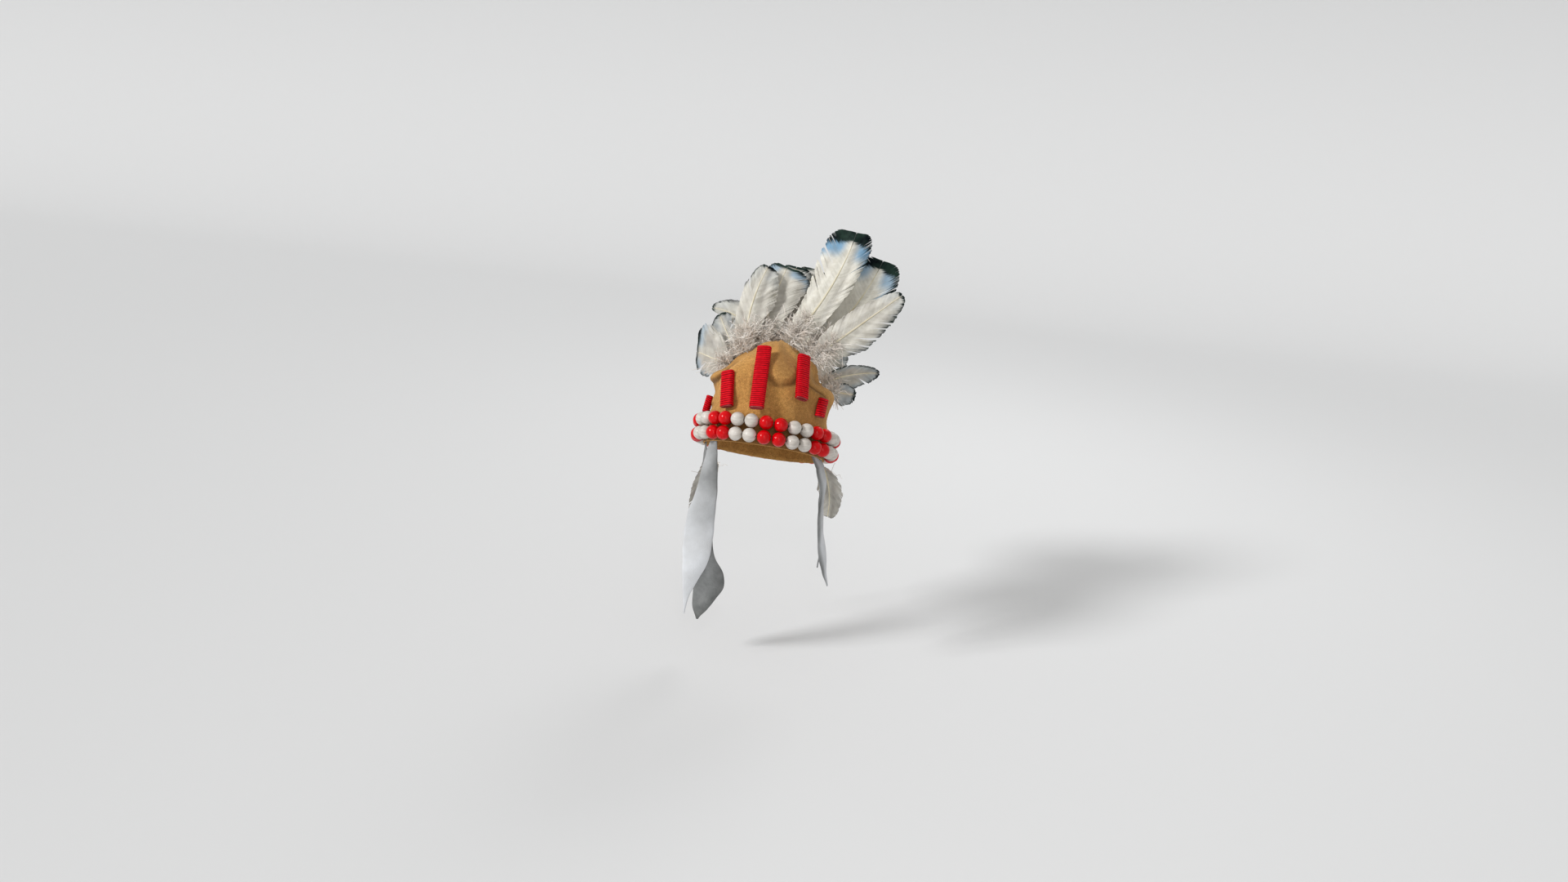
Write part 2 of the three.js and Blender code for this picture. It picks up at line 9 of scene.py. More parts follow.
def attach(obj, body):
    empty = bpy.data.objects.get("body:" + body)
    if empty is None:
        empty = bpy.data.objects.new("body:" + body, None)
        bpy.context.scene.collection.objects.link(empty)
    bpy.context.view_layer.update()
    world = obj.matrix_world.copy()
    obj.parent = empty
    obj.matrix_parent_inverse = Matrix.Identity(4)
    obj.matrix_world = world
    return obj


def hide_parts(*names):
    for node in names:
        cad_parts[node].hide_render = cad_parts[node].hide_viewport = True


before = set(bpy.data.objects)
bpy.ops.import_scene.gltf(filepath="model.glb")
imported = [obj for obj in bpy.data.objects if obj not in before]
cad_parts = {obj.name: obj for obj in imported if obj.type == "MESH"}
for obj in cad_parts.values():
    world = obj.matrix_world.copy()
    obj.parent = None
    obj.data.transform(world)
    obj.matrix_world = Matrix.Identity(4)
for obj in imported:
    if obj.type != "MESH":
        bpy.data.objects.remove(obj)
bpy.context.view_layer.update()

MM = 0.001
CAP_TILT = math.radians(24.5)
CAP_RIGHT = np.array([1.0, 0.0, 0.0])
CAP_BACK = np.array([0.0, math.cos(CAP_TILT), -math.sin(CAP_TILT)])
CAP_UP = np.array([0.0, math.sin(CAP_TILT), math.cos(CAP_TILT)])
RIM_WIDTH = 80.5
RIM_LENGTH = 88.5
CROWN_HEIGHT = 148
FELT_WALL = 2.5
FELT_RADIUS = 78
RIM_RADIUS = 82
CLEARANCE = 0.3
BEAD_COUNT = 32
BEAD_RADIUS = 9
BEAD_HOLE_RADIUS = 1.5
BEAD_SHIFT = -0.16
THREAD_RADIUS = 1.2
BEAD_ROWS = {"bead_string_lower": 9.0, "bead_string_upper": 27.5}
BAR_DEPTH = 10
BAR_WALL = 2.6
CORD_PITCH = 2.85
CORD_HEIGHT = 0.85
BAR_END = 0.8
STRIP_WIDTH = 39
STRIP_THICKNESS = 1.6
STRIP_LAP = 12
SHAFT_RADIUS = 1.8
CAMBER = 0.14
FOLD_DEPTH = 1.1
STRAND_WIDTH = 0.45
HAIR_WIDTH = 0.13
NAP_WIDTH = 0.07

# How finely each thing is drawn
FELT_AROUND = 360
BEAD_AROUND = 32
BEAD_RINGS = 23
THREAD_STEPS = 480
BAR_AROUND = 44
NAP_FIBRES = 16000
BARB_PITCH = 0.75
BARB_POINTS = 9
DOWN_STEPS = 10
DOWN_HAIRS = 34
STRIP_COLUMNS = 17

# Crown: share of the height, then half width and half length as shares of the rim's
CROWN_SECTIONS = np.array([
    (0.0, 1.0, 1.0), (0.14, 1.0, 1.0), (0.25, 0.985, 0.985), (0.34, 0.95, 0.96),
    (0.45, 0.955, 0.945), (0.56, 0.975, 0.94), (0.64, 0.9, 0.91), (0.72, 0.75, 0.85),
    (0.8, 0.58, 0.76), (0.88, 0.41, 0.62), (0.94, 0.29, 0.44), (0.98, 0.17, 0.26),
    (1.0, 0.0, 0.0),
])

# Folds: degrees round from the front, share of the height, spread, height of the fold, push
CROWN_FOLDS = [
    (18, 0.8, 13, 0.15, 7.0), (21, 0.56, 15, 0.03, -4.2), (4, 0.8, 5, 0.15, -4.2),
    (-24, 0.6, 13, 0.14, 4.2), (-46, 0.74, 8, 0.1, -5.6), (-70, 0.6, 14, 0.06, 4.9),
    (-70, 0.48, 15, 0.04, -2.8), (48, 0.74, 10, 0.08, 4.9), (62, 0.64, 10, 0.05, -4.9),
    (82, 0.56, 16, 0.07, 4.2), (135, 0.6, 16, 0.1, 4.9), (180, 0.66, 14, 0.12, -3.5),
    (225, 0.58, 16, 0.1, 4.9), (84, 0.69, 13, 0.035, -13.0),
    (78, 0.79, 13, 0.045, 8.0), (-86, 0.8, 14, 0.06, 8.0), (-62, 0.69, 9, 0.035, -6.0),
]

# Folded edges in the felt: a line of (degrees, share of the height), how far its upper or lower
# side stands proud, how soft the step is, how far the raised side fades out, and how dark and how
# wide the painted shade in its crease is
CROWN_EDGES = [
    ([(3, 0.74), (5, 0.61), (12, 0.557), (18, 0.55), (25, 0.575), (31, 0.63), (35, 0.72)],
     4.0, 4.4, 24, 0.55, 0.8),
    ([(36, 0.635), (41, 0.6), (46, 0.57), (54, 0.545), (63, 0.527), (72, 0.5)],
     -5.0, 2.0, 14, 0.8, 1.7),
    ([(-84, 0.55), (-68, 0.545), (-56, 0.555), (-49, 0.6), (-46, 0.68), (-45, 0.78)],
     4.6, 2.0, 14, 0.9, 1.6),
    ([(-46, 0.82), (-45, 0.74), (-43, 0.66), (-38, 0.5), (-30, 0.3)], 3.8, 2.0, 22, 0.8, 1.7),
    ([(-10, 0.84), (-9, 0.6), (-8, 0.34)], -1.6, 3.5, 18, 0.55, 0.8),
    ([(-92, 0.38), (-74, 0.33), (-60, 0.36)], 1.6, 3.0, 14, 0.55, 0.8),
]

# Patches of painted shade on the felt: degrees, share of the height, spread, height, how strong
CROWN_SHADE_PATCHES = [
    (19, 0.71, 10, 0.1, 0.5), (54, 0.42, 20, 0.22, 0.36), (-60, 0.34, 20, 0.1, 0.15),
    (-60, 0.69, 9, 0.04, 0.42), (70, 0.67, 14, 0.03, 0.34),
]

# Feathers of the crown: where the quill meets the felt, length, width, lean and back (degrees),
# bow, curl, turn, fullest place, bluntness, offset
FEATHERS = {
    "feather_tall": ((8.99, 56.27, 135.66), 183.3, 60, 22.3, 6, 0.055, 0, 0, 0.88, 0.97, -0.15),
    "feather_left_inner": (
        (30.01, 64.66, 116.12), 178.6, 63.6, 29.5, 8, 0.06, 0, 4, 0.85, 0.84, -0.05),
    "feather_left_middle": ((40.67, 47.45, 116.72), 157.9, 52.8, 45, 8, 0, 0, 6, 0.5, 0.3, 0.14),
    "feather_left_outer": (
        (54.76, 81.81, 78.98), 82.7, 31.2, 70.5, 6, -0.06, 0, 8, 0.55, 0.15, 0.15),
    "feather_left_low": ((68.93, 67.65, 75.23), 37.6, 30, 89, 12, 0, 0, 0, 0.6, 0.5, 0.1),
    "feather_right_inner": (
        (-28.74, 57.33, 125.43), 121.3, 61.2, 9.5, 6, -0.03, 0, -4, 0.88, 0.98, 0.15),
    "feather_right_front": (
        (-42.57, 41.46, 116.32), 129.7, 48, 4.5, 5, -0.07, 0, -6, 0.72, 0.6, 0.2),
    "feather_middle_back": ((-12.72, 74.33, 126.22), 121, 46.8, 6, 9, 0, 0, 0, 0.85, 0.9, 0),
    "feather_behind_tall": ((3.32, 81.21, 122.47), 125, 57, 12, 10, 0, 0, 0, 0.85, 0.9, 0),
    "feather_right_high": (
        (-34.82, 71.63, 105.45), 103.4, 43.2, -48, 9, 0.2, 0, -10, 0.45, 0.05, 0.3),
    "feather_right_middle": ((-52.61, 55.65, 100.54), 81.8, 42, -32, 10, 0, 0, -10, 0.6, 0.6, 0),
    "feather_right_outer": ((-61.4, 38.44, 101.03), 53.6, 66, -73, 8, 0, 0, -8, 0.8, 0.97, 0.2),
    "feather_back_right": ((-48.55, 87.25, 79.72), 105.3, 48, -32, 34, 0, 0.1, -20, 0.7, 0.5, 0),
    "feather_back_middle_right": (
        (-20.98, 100.55, 87.88), 120.3, 51, -12, 38, 0, 0.1, -8, 0.7, 0.5, 0),
    "feather_back_middle_left": ((9.76, 106.24, 86.62), 120.3, 51, 8, 40, 0, 0.1, 6, 0.7, 0.5, 0),
    "feather_back_left": ((37.16, 98.33, 78.58), 101.5, 48, 24, 38, 0, 0.1, 16, 0.7, 0.5, 0),
}

# Feathers that hang, with their lean towards the wearer's left
HANGING = {
    "hanging_feather_left": ((74.47, 26.66, -13.47), 77.1, 33.6, 11, 0, -0.08, 0, 12, 0.55, 0.7, 0),
    "hanging_feather_right": (
        (-73.48, 29.24, -14.65), 120.3, 31.2, -12, 0, 0, 0, -12, 0.55, 0.5, 0),
}

# Marks on each vane. Slant is how far the tip's wearer's left edge runs ahead, dull a
# grey cast, which the vane's fold valleys deepen with painted shade, tip the depth of the dark end,
# rim the dark rim's width, right and left how far up the vane the rim starts on each side, blue and
# glow how strong and how long the blue beyond the dark is, and spread widens the vane. Splits are
# (side, share of the length, gap). Down is how many strands, and how far forward they stand.
MARK_NAMES = ("slant", "dull", "tip", "rim", "right", "left", "blue", "glow", "mottle", "spread",
              "splits", "down")
MARKS = {
    "feather_tall": (
        2, 0.06, 20, 2, 0.82, 0.74, 1, 1, 0.05, 1.08,
        [(-1, 0.66, 2.5), (-1, 0.54, 3), (-1, 0.42, 3), (1, 0.62, 2), (1, 0.46, 2)], (260, 0.55)),
    "feather_left_inner": (4, 0, 18, 9, 0.92, 0.6, 0.8, 1, 0.12, 1.12, [(1, 0.6, 2)], (260, 0.5)),
    "feather_left_middle": (
        0, 0.35, 5, 3.8, 0.95, 0.3, 0.15, 1, 0.1, 1.04,
        [(1, 0.62, 1.5), (1, 0.4, 1.5)], (280, 0.55)),
    "feather_left_outer": (
        0, 0.4, 4, 1.6, 0.1, 0.5, 0.35, 1, 0.45, 1.06, [(1, 0.6, 3)], (110, 0.2)),
    "feather_left_low": (0, 0.5, 4, 1.8, 0.4, 0.2, 0.3, 1, 0.55, 1.06, [], (90, 0.1)),
    "feather_right_inner": (
        0, 0.35, 5, 1.6, 0.8, 0.8, 0.7, 0.4, 0.1, 1.1, [(1, 0.62, 2)], (280, 0.7)),
    "feather_right_front": (
        0, 0.35, 4, 1.8, 0.72, 0.95, 0.15, 1, 0.15, 1.06, [(-1, 0.62, 2)], (320, 0.7)),
    "feather_middle_back": (
        0, 0.6, 5, 3, 0.95, 0.8, 0.15, 1, 0.35, 1.15, [(1, 0.7, 3)], (200, 0.4)),
    "feather_behind_tall": (
        0, 0.5, 3, 1, 0.9, 0.95, 0.05, 1, 0.35, 1.15, [(-1, 0.8, 3)], (200, 0.4)),
    "feather_right_high": (
        0, 0.3, 4, 2.2, 0.98, 0.4, 0.15, 1, 0.2, 1.06, [(-1, 0.7, 3)], (150, 0.3)),
    "feather_right_middle": (
        0, 0.5, 4, 2, 0.7, 0.6, 0.2, 1, 0.75, 1.06, [(1, 0.6, 4), (-1, 0.5, 3)], (130, 0.4)),
    "feather_right_outer": (
        13, 0.4, 3, 2.4, 0.35, 0.95, 0.5, 0.35, 0.35, 1.06, [(-1, 0.6, 3)], (150, 0.3)),
    # The hanging feathers are white; their grey cast and grey mottle are painted shade.
    "hanging": (0, 0.6, 0, 0.1, 0.95, 0.95, 0, 1, 0.5, 1.06, [(1, 0.6, 2)], (6, 0)),
    "plain": (0, 0.25, 6, 1.5, 0.7, 0.7, 0.3, 1, 0.4, 1.06, [(1, 0.45, 3), (-1, 0.6, 3)], (60, 0)),
}

# Bars: middle of the bottom end, the directions across and up, length and width
BARS = {
    "wrapped_bar_far_right": (
        (-83.011, 2.775, 42.585), (0.1505, -0.904, 0.4002), (0.1282, 0.4192, 0.8988), 23.22, 17.1),
    "wrapped_bar_right": (
        (-40.366, -57.522, 72.699), (0.85, -0.3795, 0.3654), (-0.1423, 0.5023, 0.8529), 47.3,
        19.44),
    "wrapped_bar_centre": (
        (1.361, -75.056, 81.157), (0.9972, 0.0473, 0.0576), (-0.0746, 0.6454, 0.7602), 86, 18.72),
    "wrapped_bar_left": (
        (52.29, -46.709, 91.763), (0.795, 0.5118, -0.3256), (-0.1339, 0.6717, 0.7287), 62.78,
        17.64),
    "wrapped_bar_far_left": (
        (72.59, -17.881, 62.875), (0.4354, 0.8133, -0.386), (0.0892, 0.3877, 0.9175), 24.94, 15.84),
}

# Strips: seat in degrees round the rim and length, then rows of the drop as a share of the
# length, left, back and width as shares of STRIP_WIDTH, and facing in degrees
STRIPS = {
    "side_strip_front_right": (-47, 250, [
        (0.06, -0.02, 0, 0.45, -24), (0.17, -0.07, -0.02, 0.56, -6), (0.28, -0.12, -0.04, 0.72, 4),
        (0.4, -0.25, -0.05, 0.92, 8), (0.55, -0.32, -0.05, 1, 10), (0.68, -0.38, -0.04, 0.87, 10),
        (0.79, -0.52, -0.03, 0.54, 8), (0.89, -0.64, -0.02, 0.22, 4), (1.0, -0.69, 0.0, 0.04, 0)]),
    "side_strip_back_right": (-76, 255, [
        (0.06, 0.04, -0.05, 0.5, -60), (0.2, 0.07, -0.1, 0.62, -45), (0.4, 0.17, -0.14, 0.78, -30),
        (0.55, 0.16, -0.15, 0.72, -16), (0.63, 0.22, -0.15, 0.84, -10),
        (0.71, 0.39, -0.15, 1.1, -8), (0.79, 0.4, -0.15, 1.13, -8), (0.87, 0.26, -0.15, 0.85, -8),
        (0.94, 0.13, -0.14, 0.54, -8), (1.0, 0.07, -0.14, 0.08, -8)]),
    "side_strip_front_left": (70, 180, [
        (0.07, 0.2, 0.0, 0.48, 70), (0.2, 0.34, 0.0, 0.6, 78), (0.38, 0.36, 0.0, 0.68, 84),
        (0.58, 0.43, 0.02, 0.7, 84), (0.78, 0.56, 0.06, 0.58, 80), (0.9, 0.66, 0.1, 0.34, 76),
        (1.0, 0.8, 0.14, 0.06, 70)]),
    "side_strip_back_left": (92, 152.5, [
        (0.07, 0.05, 0.04, 0.48, 88), (0.2, 0.08, 0.06, 0.56, 90), (0.4, 0.1, 0.06, 0.6, 92),
        (0.62, 0.16, 0.04, 0.56, 92), (0.84, 0.24, 0.0, 0.34, 90), (1.0, 0.21, -0.04, 0.06, 90)]),
}

# How much painted shade greys each strip: all over, near the rim, and down its wearer's right edge
STRIP_SHADE = {
    "side_strip_front_right": (0.02, 0.75, 0.0), "side_strip_back_right": (1.0, 0.0, 0.0),
    "side_strip_front_left": (0.15, 0.3, 0.6), "side_strip_back_left": (0.8, 0.0, 0.0),
}


def smooth(x, low, high):
    t = np.clip((np.asarray(x, float) - low) / (high - low), 0, 1)
    return t * t * (3 - 2 * t)


def unit(v):
    v = np.asarray(v, float)
    return v / np.maximum(np.linalg.norm(v, axis=-1, keepdims=True), 1e-9)


def read_column(table, column, at):
    """A smooth value read from one column of a table, through the rows on either side."""
    keys = table[:, 0]
    i = np.clip(np.searchsorted(keys, at, side="left") - 1, 0, len(keys) - 2)
    t = np.clip((at - keys[i]) / (keys[i + 1] - keys[i]), 0, 1)
    values = table[:, column]
    start, stop = values[i], values[i + 1]
    slope_start = (stop - values[np.maximum(i - 1, 0)]) / 2
    slope_stop = (values[np.minimum(i + 2, len(keys) - 1)] - start) / 2
    cubic = 2 * start - 2 * stop + slope_start + slope_stop
    square = 3 * stop - 3 * start - 2 * slope_start - slope_stop
    return ((cubic * t + square) * t + slope_start) * t + start


def to_world(points):
    """Points of the tilted cap, in the upright frame."""
    return (points[..., 0:1] * CAP_RIGHT + points[..., 1:2] * CAP_BACK + points[..., 2:3] * CAP_UP)


def circle(angles, one, two):
    """Directions round a circle, from one towards two."""
    return np.cos(angles)[:, None] * one + np.sin(angles)[:, None] * two


class Pile:
    """Rows of points and faces that end up in one mesh."""

    def __init__(self):
        self.points, self.quads, self.triangles = [], [], []
        self.quad_slots, self.triangle_slots = [], []
        self.values = {}
        self.count = 0

    def _add(self, points, values):
        points = points.reshape(-1, 3)
        for key in sorted(set(self.values) | set(values)):
            have = self.values.setdefault(key, [np.zeros(self.count)])
            value = values.get(key, 0.0)
            have.append(np.broadcast_to(value, len(points)) if np.ndim(value) == 0
                        else np.asarray(value, float).reshape(-1))
        self.points.append(points)
        start = self.count
        self.count += len(points)
        return start

    def grids(self, points, slot=0, wrap=False, wrap_rows=False, **values):
        """Adds k grids of n rows by m columns: points is k x n x m x 3."""
        k, n, m, _ = points.shape
        values = {key: np.broadcast_to(value, (k, n, m)) if np.ndim(value) else value
                  for key, value in values.items()}
        start = self._add(points, values)
        index = start + np.arange(k * n * m).reshape(k, n, m)
        rows = np.concatenate([index, index[:, :1]], 1) if wrap_rows else index
        if wrap:
            rows = np.concatenate([rows, rows[:, :, :1]], 2)
        below, above = rows[:, :-1], rows[:, 1:]
        quads = np.stack([below[..., :-1], below[..., 1:], above[..., 1:], above[..., :-1]], -1)
        self.quads.append(quads.reshape(-1, 4))
        self.quad_slots.append(np.full(len(self.quads[-1]), slot))

    def slivers(self, points, slot=0, **values):
        """Adds loose triangles: points is k x 3 x 3."""
        start = self._add(points, values)
        self.triangles.append(start + np.arange(len(points) * 3).reshape(-1, 3))
        self.triangle_slots.append(np.full(len(points), slot))

    def caps(self, ring, slot=0, flip=False, **values):
        """Closes one ring of points with a fan."""
        middle = ring.mean(0, keepdims=True)
        start = self._add(np.concatenate([ring, middle]), values)
        i = np.arange(len(ring))
        j = (i + 1) % len(ring)
        fan = np.stack([i, j, np.full(len(ring), len(ring))], 1)
        self.triangles.append(start + (fan[:, ::-1] if flip else fan))
        self.triangle_slots.append(np.full(len(ring), slot))

    def make(self, name, materials):
        points = np.concatenate(self.points) * MM
        quads = np.concatenate(self.quads) if self.quads else np.zeros((0, 4), int)
        triangles = np.concatenate(self.triangles) if self.triangles else np.zeros((0, 3), int)
        loops = np.concatenate([quads.ravel(), triangles.ravel()])
        totals = np.concatenate([np.full(len(quads), 4), np.full(len(triangles), 3)])
        slots = np.concatenate([*self.quad_slots, *self.triangle_slots])
        mesh = bpy.data.meshes.new(name)
        mesh.vertices.add(len(points))
        mesh.vertices.foreach_set("co", points.ravel())
        mesh.loops.add(len(loops))
        mesh.loops.foreach_set("vertex_index", loops.astype(np.int32))
        mesh.polygons.add(len(totals))
        mesh.polygons.foreach_set("loop_start", np.concatenate([[0], np.cumsum(totals)[:-1]]))
        mesh.polygons.foreach_set("material_index", slots.astype(np.int32))
        mesh.update(calc_edges=True)
        mesh.polygons.foreach_set("use_smooth", np.full(len(totals), True))
        for key, parts in self.values.items():
            layer = mesh.attributes.new(key, "FLOAT", "POINT")
            layer.data.foreach_set("value", np.concatenate(parts).astype(np.float32))
        for material in materials:
            mesh.materials.append(material)
        mesh.validate()
        obj = bpy.data.objects.new(name, mesh)
        bpy.context.scene.collection.objects.link(obj)
        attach(obj, "root")
        return obj


# Materials

def new_material(name):
    material = bpy.data.materials.new(name)
    material.use_nodes = True
    tree = material.node_tree
    shader = tree.nodes["Principled BSDF"]
    return material, tree, shader


def node(tree, kind, **settings):
    made = tree.nodes.new(kind)
    for key, value in settings.items():
        if key in made.inputs:
            made.inputs[key].default_value = value
        else:
            setattr(made, key, value)
    return made


def noise(tree, scale, detail=4.0, rough=0.6, stretch=None):
    place = tree.nodes.new("ShaderNodeTexCoord")
    made = node(tree, "ShaderNodeTexNoise", Scale=scale, Detail=detail, Roughness=rough)
    source = place.outputs["Object"]
    if stretch:
        mapping = node(tree, "ShaderNodeMapping", Scale=stretch)
        tree.links.new(source, mapping.inputs["Vector"])
        source = mapping.outputs["Vector"]
    tree.links.new(source, made.inputs["Vector"])
    return made.outputs["Fac"]


def ramp(tree, fac, stops):
    made = tree.nodes.new("ShaderNodeValToRGB")
    elements = made.color_ramp.elements
    while len(elements) < len(stops):
        elements.new(0.5)
    for element, (place, color) in zip(elements, stops):
        element.position = place
        element.color = (*color, 1)
    tree.links.new(fac, made.inputs["Fac"])
    return made.outputs["Color"]


def mix(tree, fac, one, two, blend="MIX"):
    made = node(tree, "ShaderNodeMix", data_type="RGBA", blend_type=blend)
    for socket, value in ((made.inputs[0], fac), (made.inputs[6], one), (made.inputs[7], two)):
        if hasattr(value, "is_output"):
            tree.links.new(value, socket)
        elif isinstance(value, (int, float)):
            socket.default_value = value
        else:
            socket.default_value = (*value, 1)
    return made.outputs[2]


def attribute(tree, name):
    return node(tree, "ShaderNodeAttribute", attribute_name=name).outputs["Fac"]


def bump(tree, shader, height, strength, distance):
    made = node(tree, "ShaderNodeBump", Strength=strength, Distance=distance)
    tree.links.new(height, made.inputs["Height"])
    tree.links.new(made.outputs["Normal"], shader.inputs["Normal"])


def math_node(tree, operation, one, two):
    made = node(tree, "ShaderNodeMath", operation=operation)
    for socket, value in ((made.inputs[0], one), (made.inputs[1], two)):
        if hasattr(value, "is_output"):
            tree.links.new(value, socket)
        else:
            socket.default_value = value
    return made.outputs[0]


def finish(tree, shader, color, sockets):
    """Links the colour and sets the shader's other sockets."""
    tree.links.new(color, shader.inputs["Base Color"])
    for socket, value in sockets.items():
        shader.inputs[socket].default_value = value


def felt_material():
    material, tree, shader = new_material("felt_golden_tan")
    patches = noise(tree, 28, 5, 0.6)
    nap = noise(tree, 900, 3, 0.7)
    base = ramp(tree, patches, [(0.3, (0.44, 0.222, 0.067)), (0.52, (0.585, 0.312, 0.096)),
                                (0.75, (0.69, 0.39, 0.134))])
    speck = ramp(tree, nap, [(0.32, (0.62, 0.6, 0.56)), (0.68, (1.2, 1.18, 1.14))])
    color = mix(tree, 1.0, base, speck, "MULTIPLY")
    rubbed = noise(tree, 260, 4, 0.65)
    rubbed = ramp(tree, rubbed, [(0.35, (0.8, 0.78, 0.74)), (0.65, (1.1, 1.1, 1.1))])
    color = mix(tree, 1.0, color, rubbed, "MULTIPLY")
    # Painted shade in patches, where the felt's folds turn from the light.
    color = mix(tree, attribute(tree, "soil"), color, (0.19, 0.09, 0.033))
    # Painted shade, darkest in the felt's creases and behind the beads.
    color = mix(tree, attribute(tree, "crease"), color, (0.13, 0.06, 0.02))
    finish(tree, shader, color, {
        "Roughness": 0.95, "Specular IOR Level": 0.15, "Sheen Weight": 0.2,
        "Sheen Roughness": 0.5, "Sheen Tint": (0.95, 0.75, 0.45, 1)
    })
    height = math_node(tree, "ADD", nap, math_node(tree, "MULTIPLY", noise(tree, 160, 4, 0.6), 1.6))
    bump(tree, shader, height, 0.5, 0.0007)
    return material


def vane_material():
    material, tree, shader = new_material("feather_vane")
    streak = noise(tree, 140, 4, 0.6)
    mottle = noise(tree, 55, 3, 0.6)
    ivory = ramp(tree, streak, [(0.3, (0.7, 0.67, 0.58)), (0.6, (0.86, 0.84, 0.76))])
    grey = ramp(tree, mottle, [(0.35, (0.3, 0.3, 0.28)), (0.6, (0.68, 0.67, 0.63))])
    # A grey cast, deepened by painted shade in the valleys of the vane's folds.
    color = mix(tree, attribute(tree, "dull"), ivory, (0.4, 0.372, 0.34))
    color = mix(tree, attribute(tree, "mottle"), color, grey)
    color = mix(tree, attribute(tree, "blue"), color, (0.2, 0.36, 0.52))
    dark = ramp(tree, mottle, [(0.35, (0.002, 0.005, 0.007)), (0.65, (0.02, 0.042, 0.032))])
    color = mix(tree, attribute(tree, "shade"), color, (0.36, 0.34, 0.27))
    color = mix(tree, attribute(tree, "dark"), color, dark)
    finish(tree, shader, color, {"Roughness": 0.6, "Specular IOR Level": 0.07})
    return material


def grained_material(name, grain, stops, sockets, over=None, relief=None):
    """A material coloured by one noise, with an attribute's colour over it and its own relief."""
    material, tree, shader = new_material(name)
    color = ramp(tree, noise(tree, *grain), stops)
    if over:
        color = mix(tree, attribute(tree, over[0]), color, over[1])
    finish(tree, shader, color, sockets)
    if relief:
        bump(tree, shader, noise(tree, *relief[0]), *relief[1:])
    return material


def leather_material():
    material, tree, shader = new_material("leather_white")
    cloud = noise(tree, 22, 4, 0.55)
    color = ramp(tree, cloud, [(0.3, (0.58, 0.59, 0.6)), (0.6, (0.74, 0.76, 0.79))])
    # Painted shade: dark grey where the strips lie in shade.
    worn = noise(tree, 45, 4, 0.6)
    worn = ramp(tree, worn, [(0.3, (0.07, 0.075, 0.072)), (0.7, (0.2, 0.205, 0.2))])
    color = mix(tree, attribute(tree, "worn"), color, worn)
    finish(tree, shader, color,
           {"Roughness": 0.7, "Specular IOR Level": 0.3, "Sheen Weight": 0.1})
    grain = node(tree, "ShaderNodeTexVoronoi", Scale=520.0)
    place = tree.nodes.new("ShaderNodeTexCoord")
    tree.links.new(place.outputs["Object"], grain.inputs["Vector"])
    height = math_node(tree, "ADD", grain.outputs["Distance"],
                       math_node(tree, "MULTIPLY", noise(tree, 60, 4, 0.6), 2.0))
    bump(tree, shader, height, 0.3, 0.0006)
    return material


FELT = felt_material()
VANE = vane_material()
SHAFT = grained_material(
    "feather_shaft", (60, 3, 0.5), [(0.3, (0.62, 0.55, 0.36)), (0.7, (0.8, 0.75, 0.6))],
    {"Roughness": 0.35, "Coat Weight": 0.15}, ("dark", (0.03, 0.04, 0.035)))
DOWN = grained_material(
    "feather_down", (70, 3, 0.6), [(0.35, (0.8, 0.72, 0.64)), (0.65, (0.97, 0.94, 0.89))],
    {"Roughness": 0.9, "Sheen Weight": 0.2}, ("shade", (0.3, 0.26, 0.22)))
RED_BEAD = grained_material(
    "bead_gloss_red", (90, 3, 0.5), [(0.3, (0.5, 0.0, 0.002)), (0.7, (0.68, 0.0, 0.004))],
    {"Roughness": 0.3, "Specular IOR Level": 0.08, "Coat Weight": 0.3, "Coat Roughness": 0.14},
    relief=((120, 2, 0.5), 0.06, 0.0006))
WHITE_BEAD = grained_material(
    "bead_satin_white", (60, 4, 0.6, (1, 1, 5)),
    [(0.3, (0.46, 0.42, 0.375)), (0.62, (0.66, 0.615, 0.565))],
    {"Roughness": 0.5, "Coat Weight": 0.12}, relief=((60, 4, 0.6, (1, 1, 5)), 0.25, 0.0008))
# Red cord, darkened towards black in the grooves between windings as painted shade.
CORD = grained_material(
    "cord_red", (240, 3, 0.6), [(0.3, (0.54, 0.0, 0.006)), (0.7, (0.8, 0.002, 0.014))],
    {"Roughness": 0.5, "Specular IOR Level": 0.1}, ("groove", (0.03, 0.0, 0.001)),
    ((2500, 2, 0.6), 0.3, 0.0002))
CORE = grained_material(
    "bar_core_pink", (150, 3, 0.5), [(0.3, (0.27, 0.015, 0.018)), (0.7, (0.42, 0.04, 0.04))],
    {"Roughness": 0.5})
THREAD = grained_material(
    "bead_thread", (700, 3, 0.5), [(0.3, (0.06, 0.045, 0.035)), (0.7, (0.13, 0.1, 0.075))],
    {"Roughness": 0.85})
LEATHER = leather_material()


# Crown

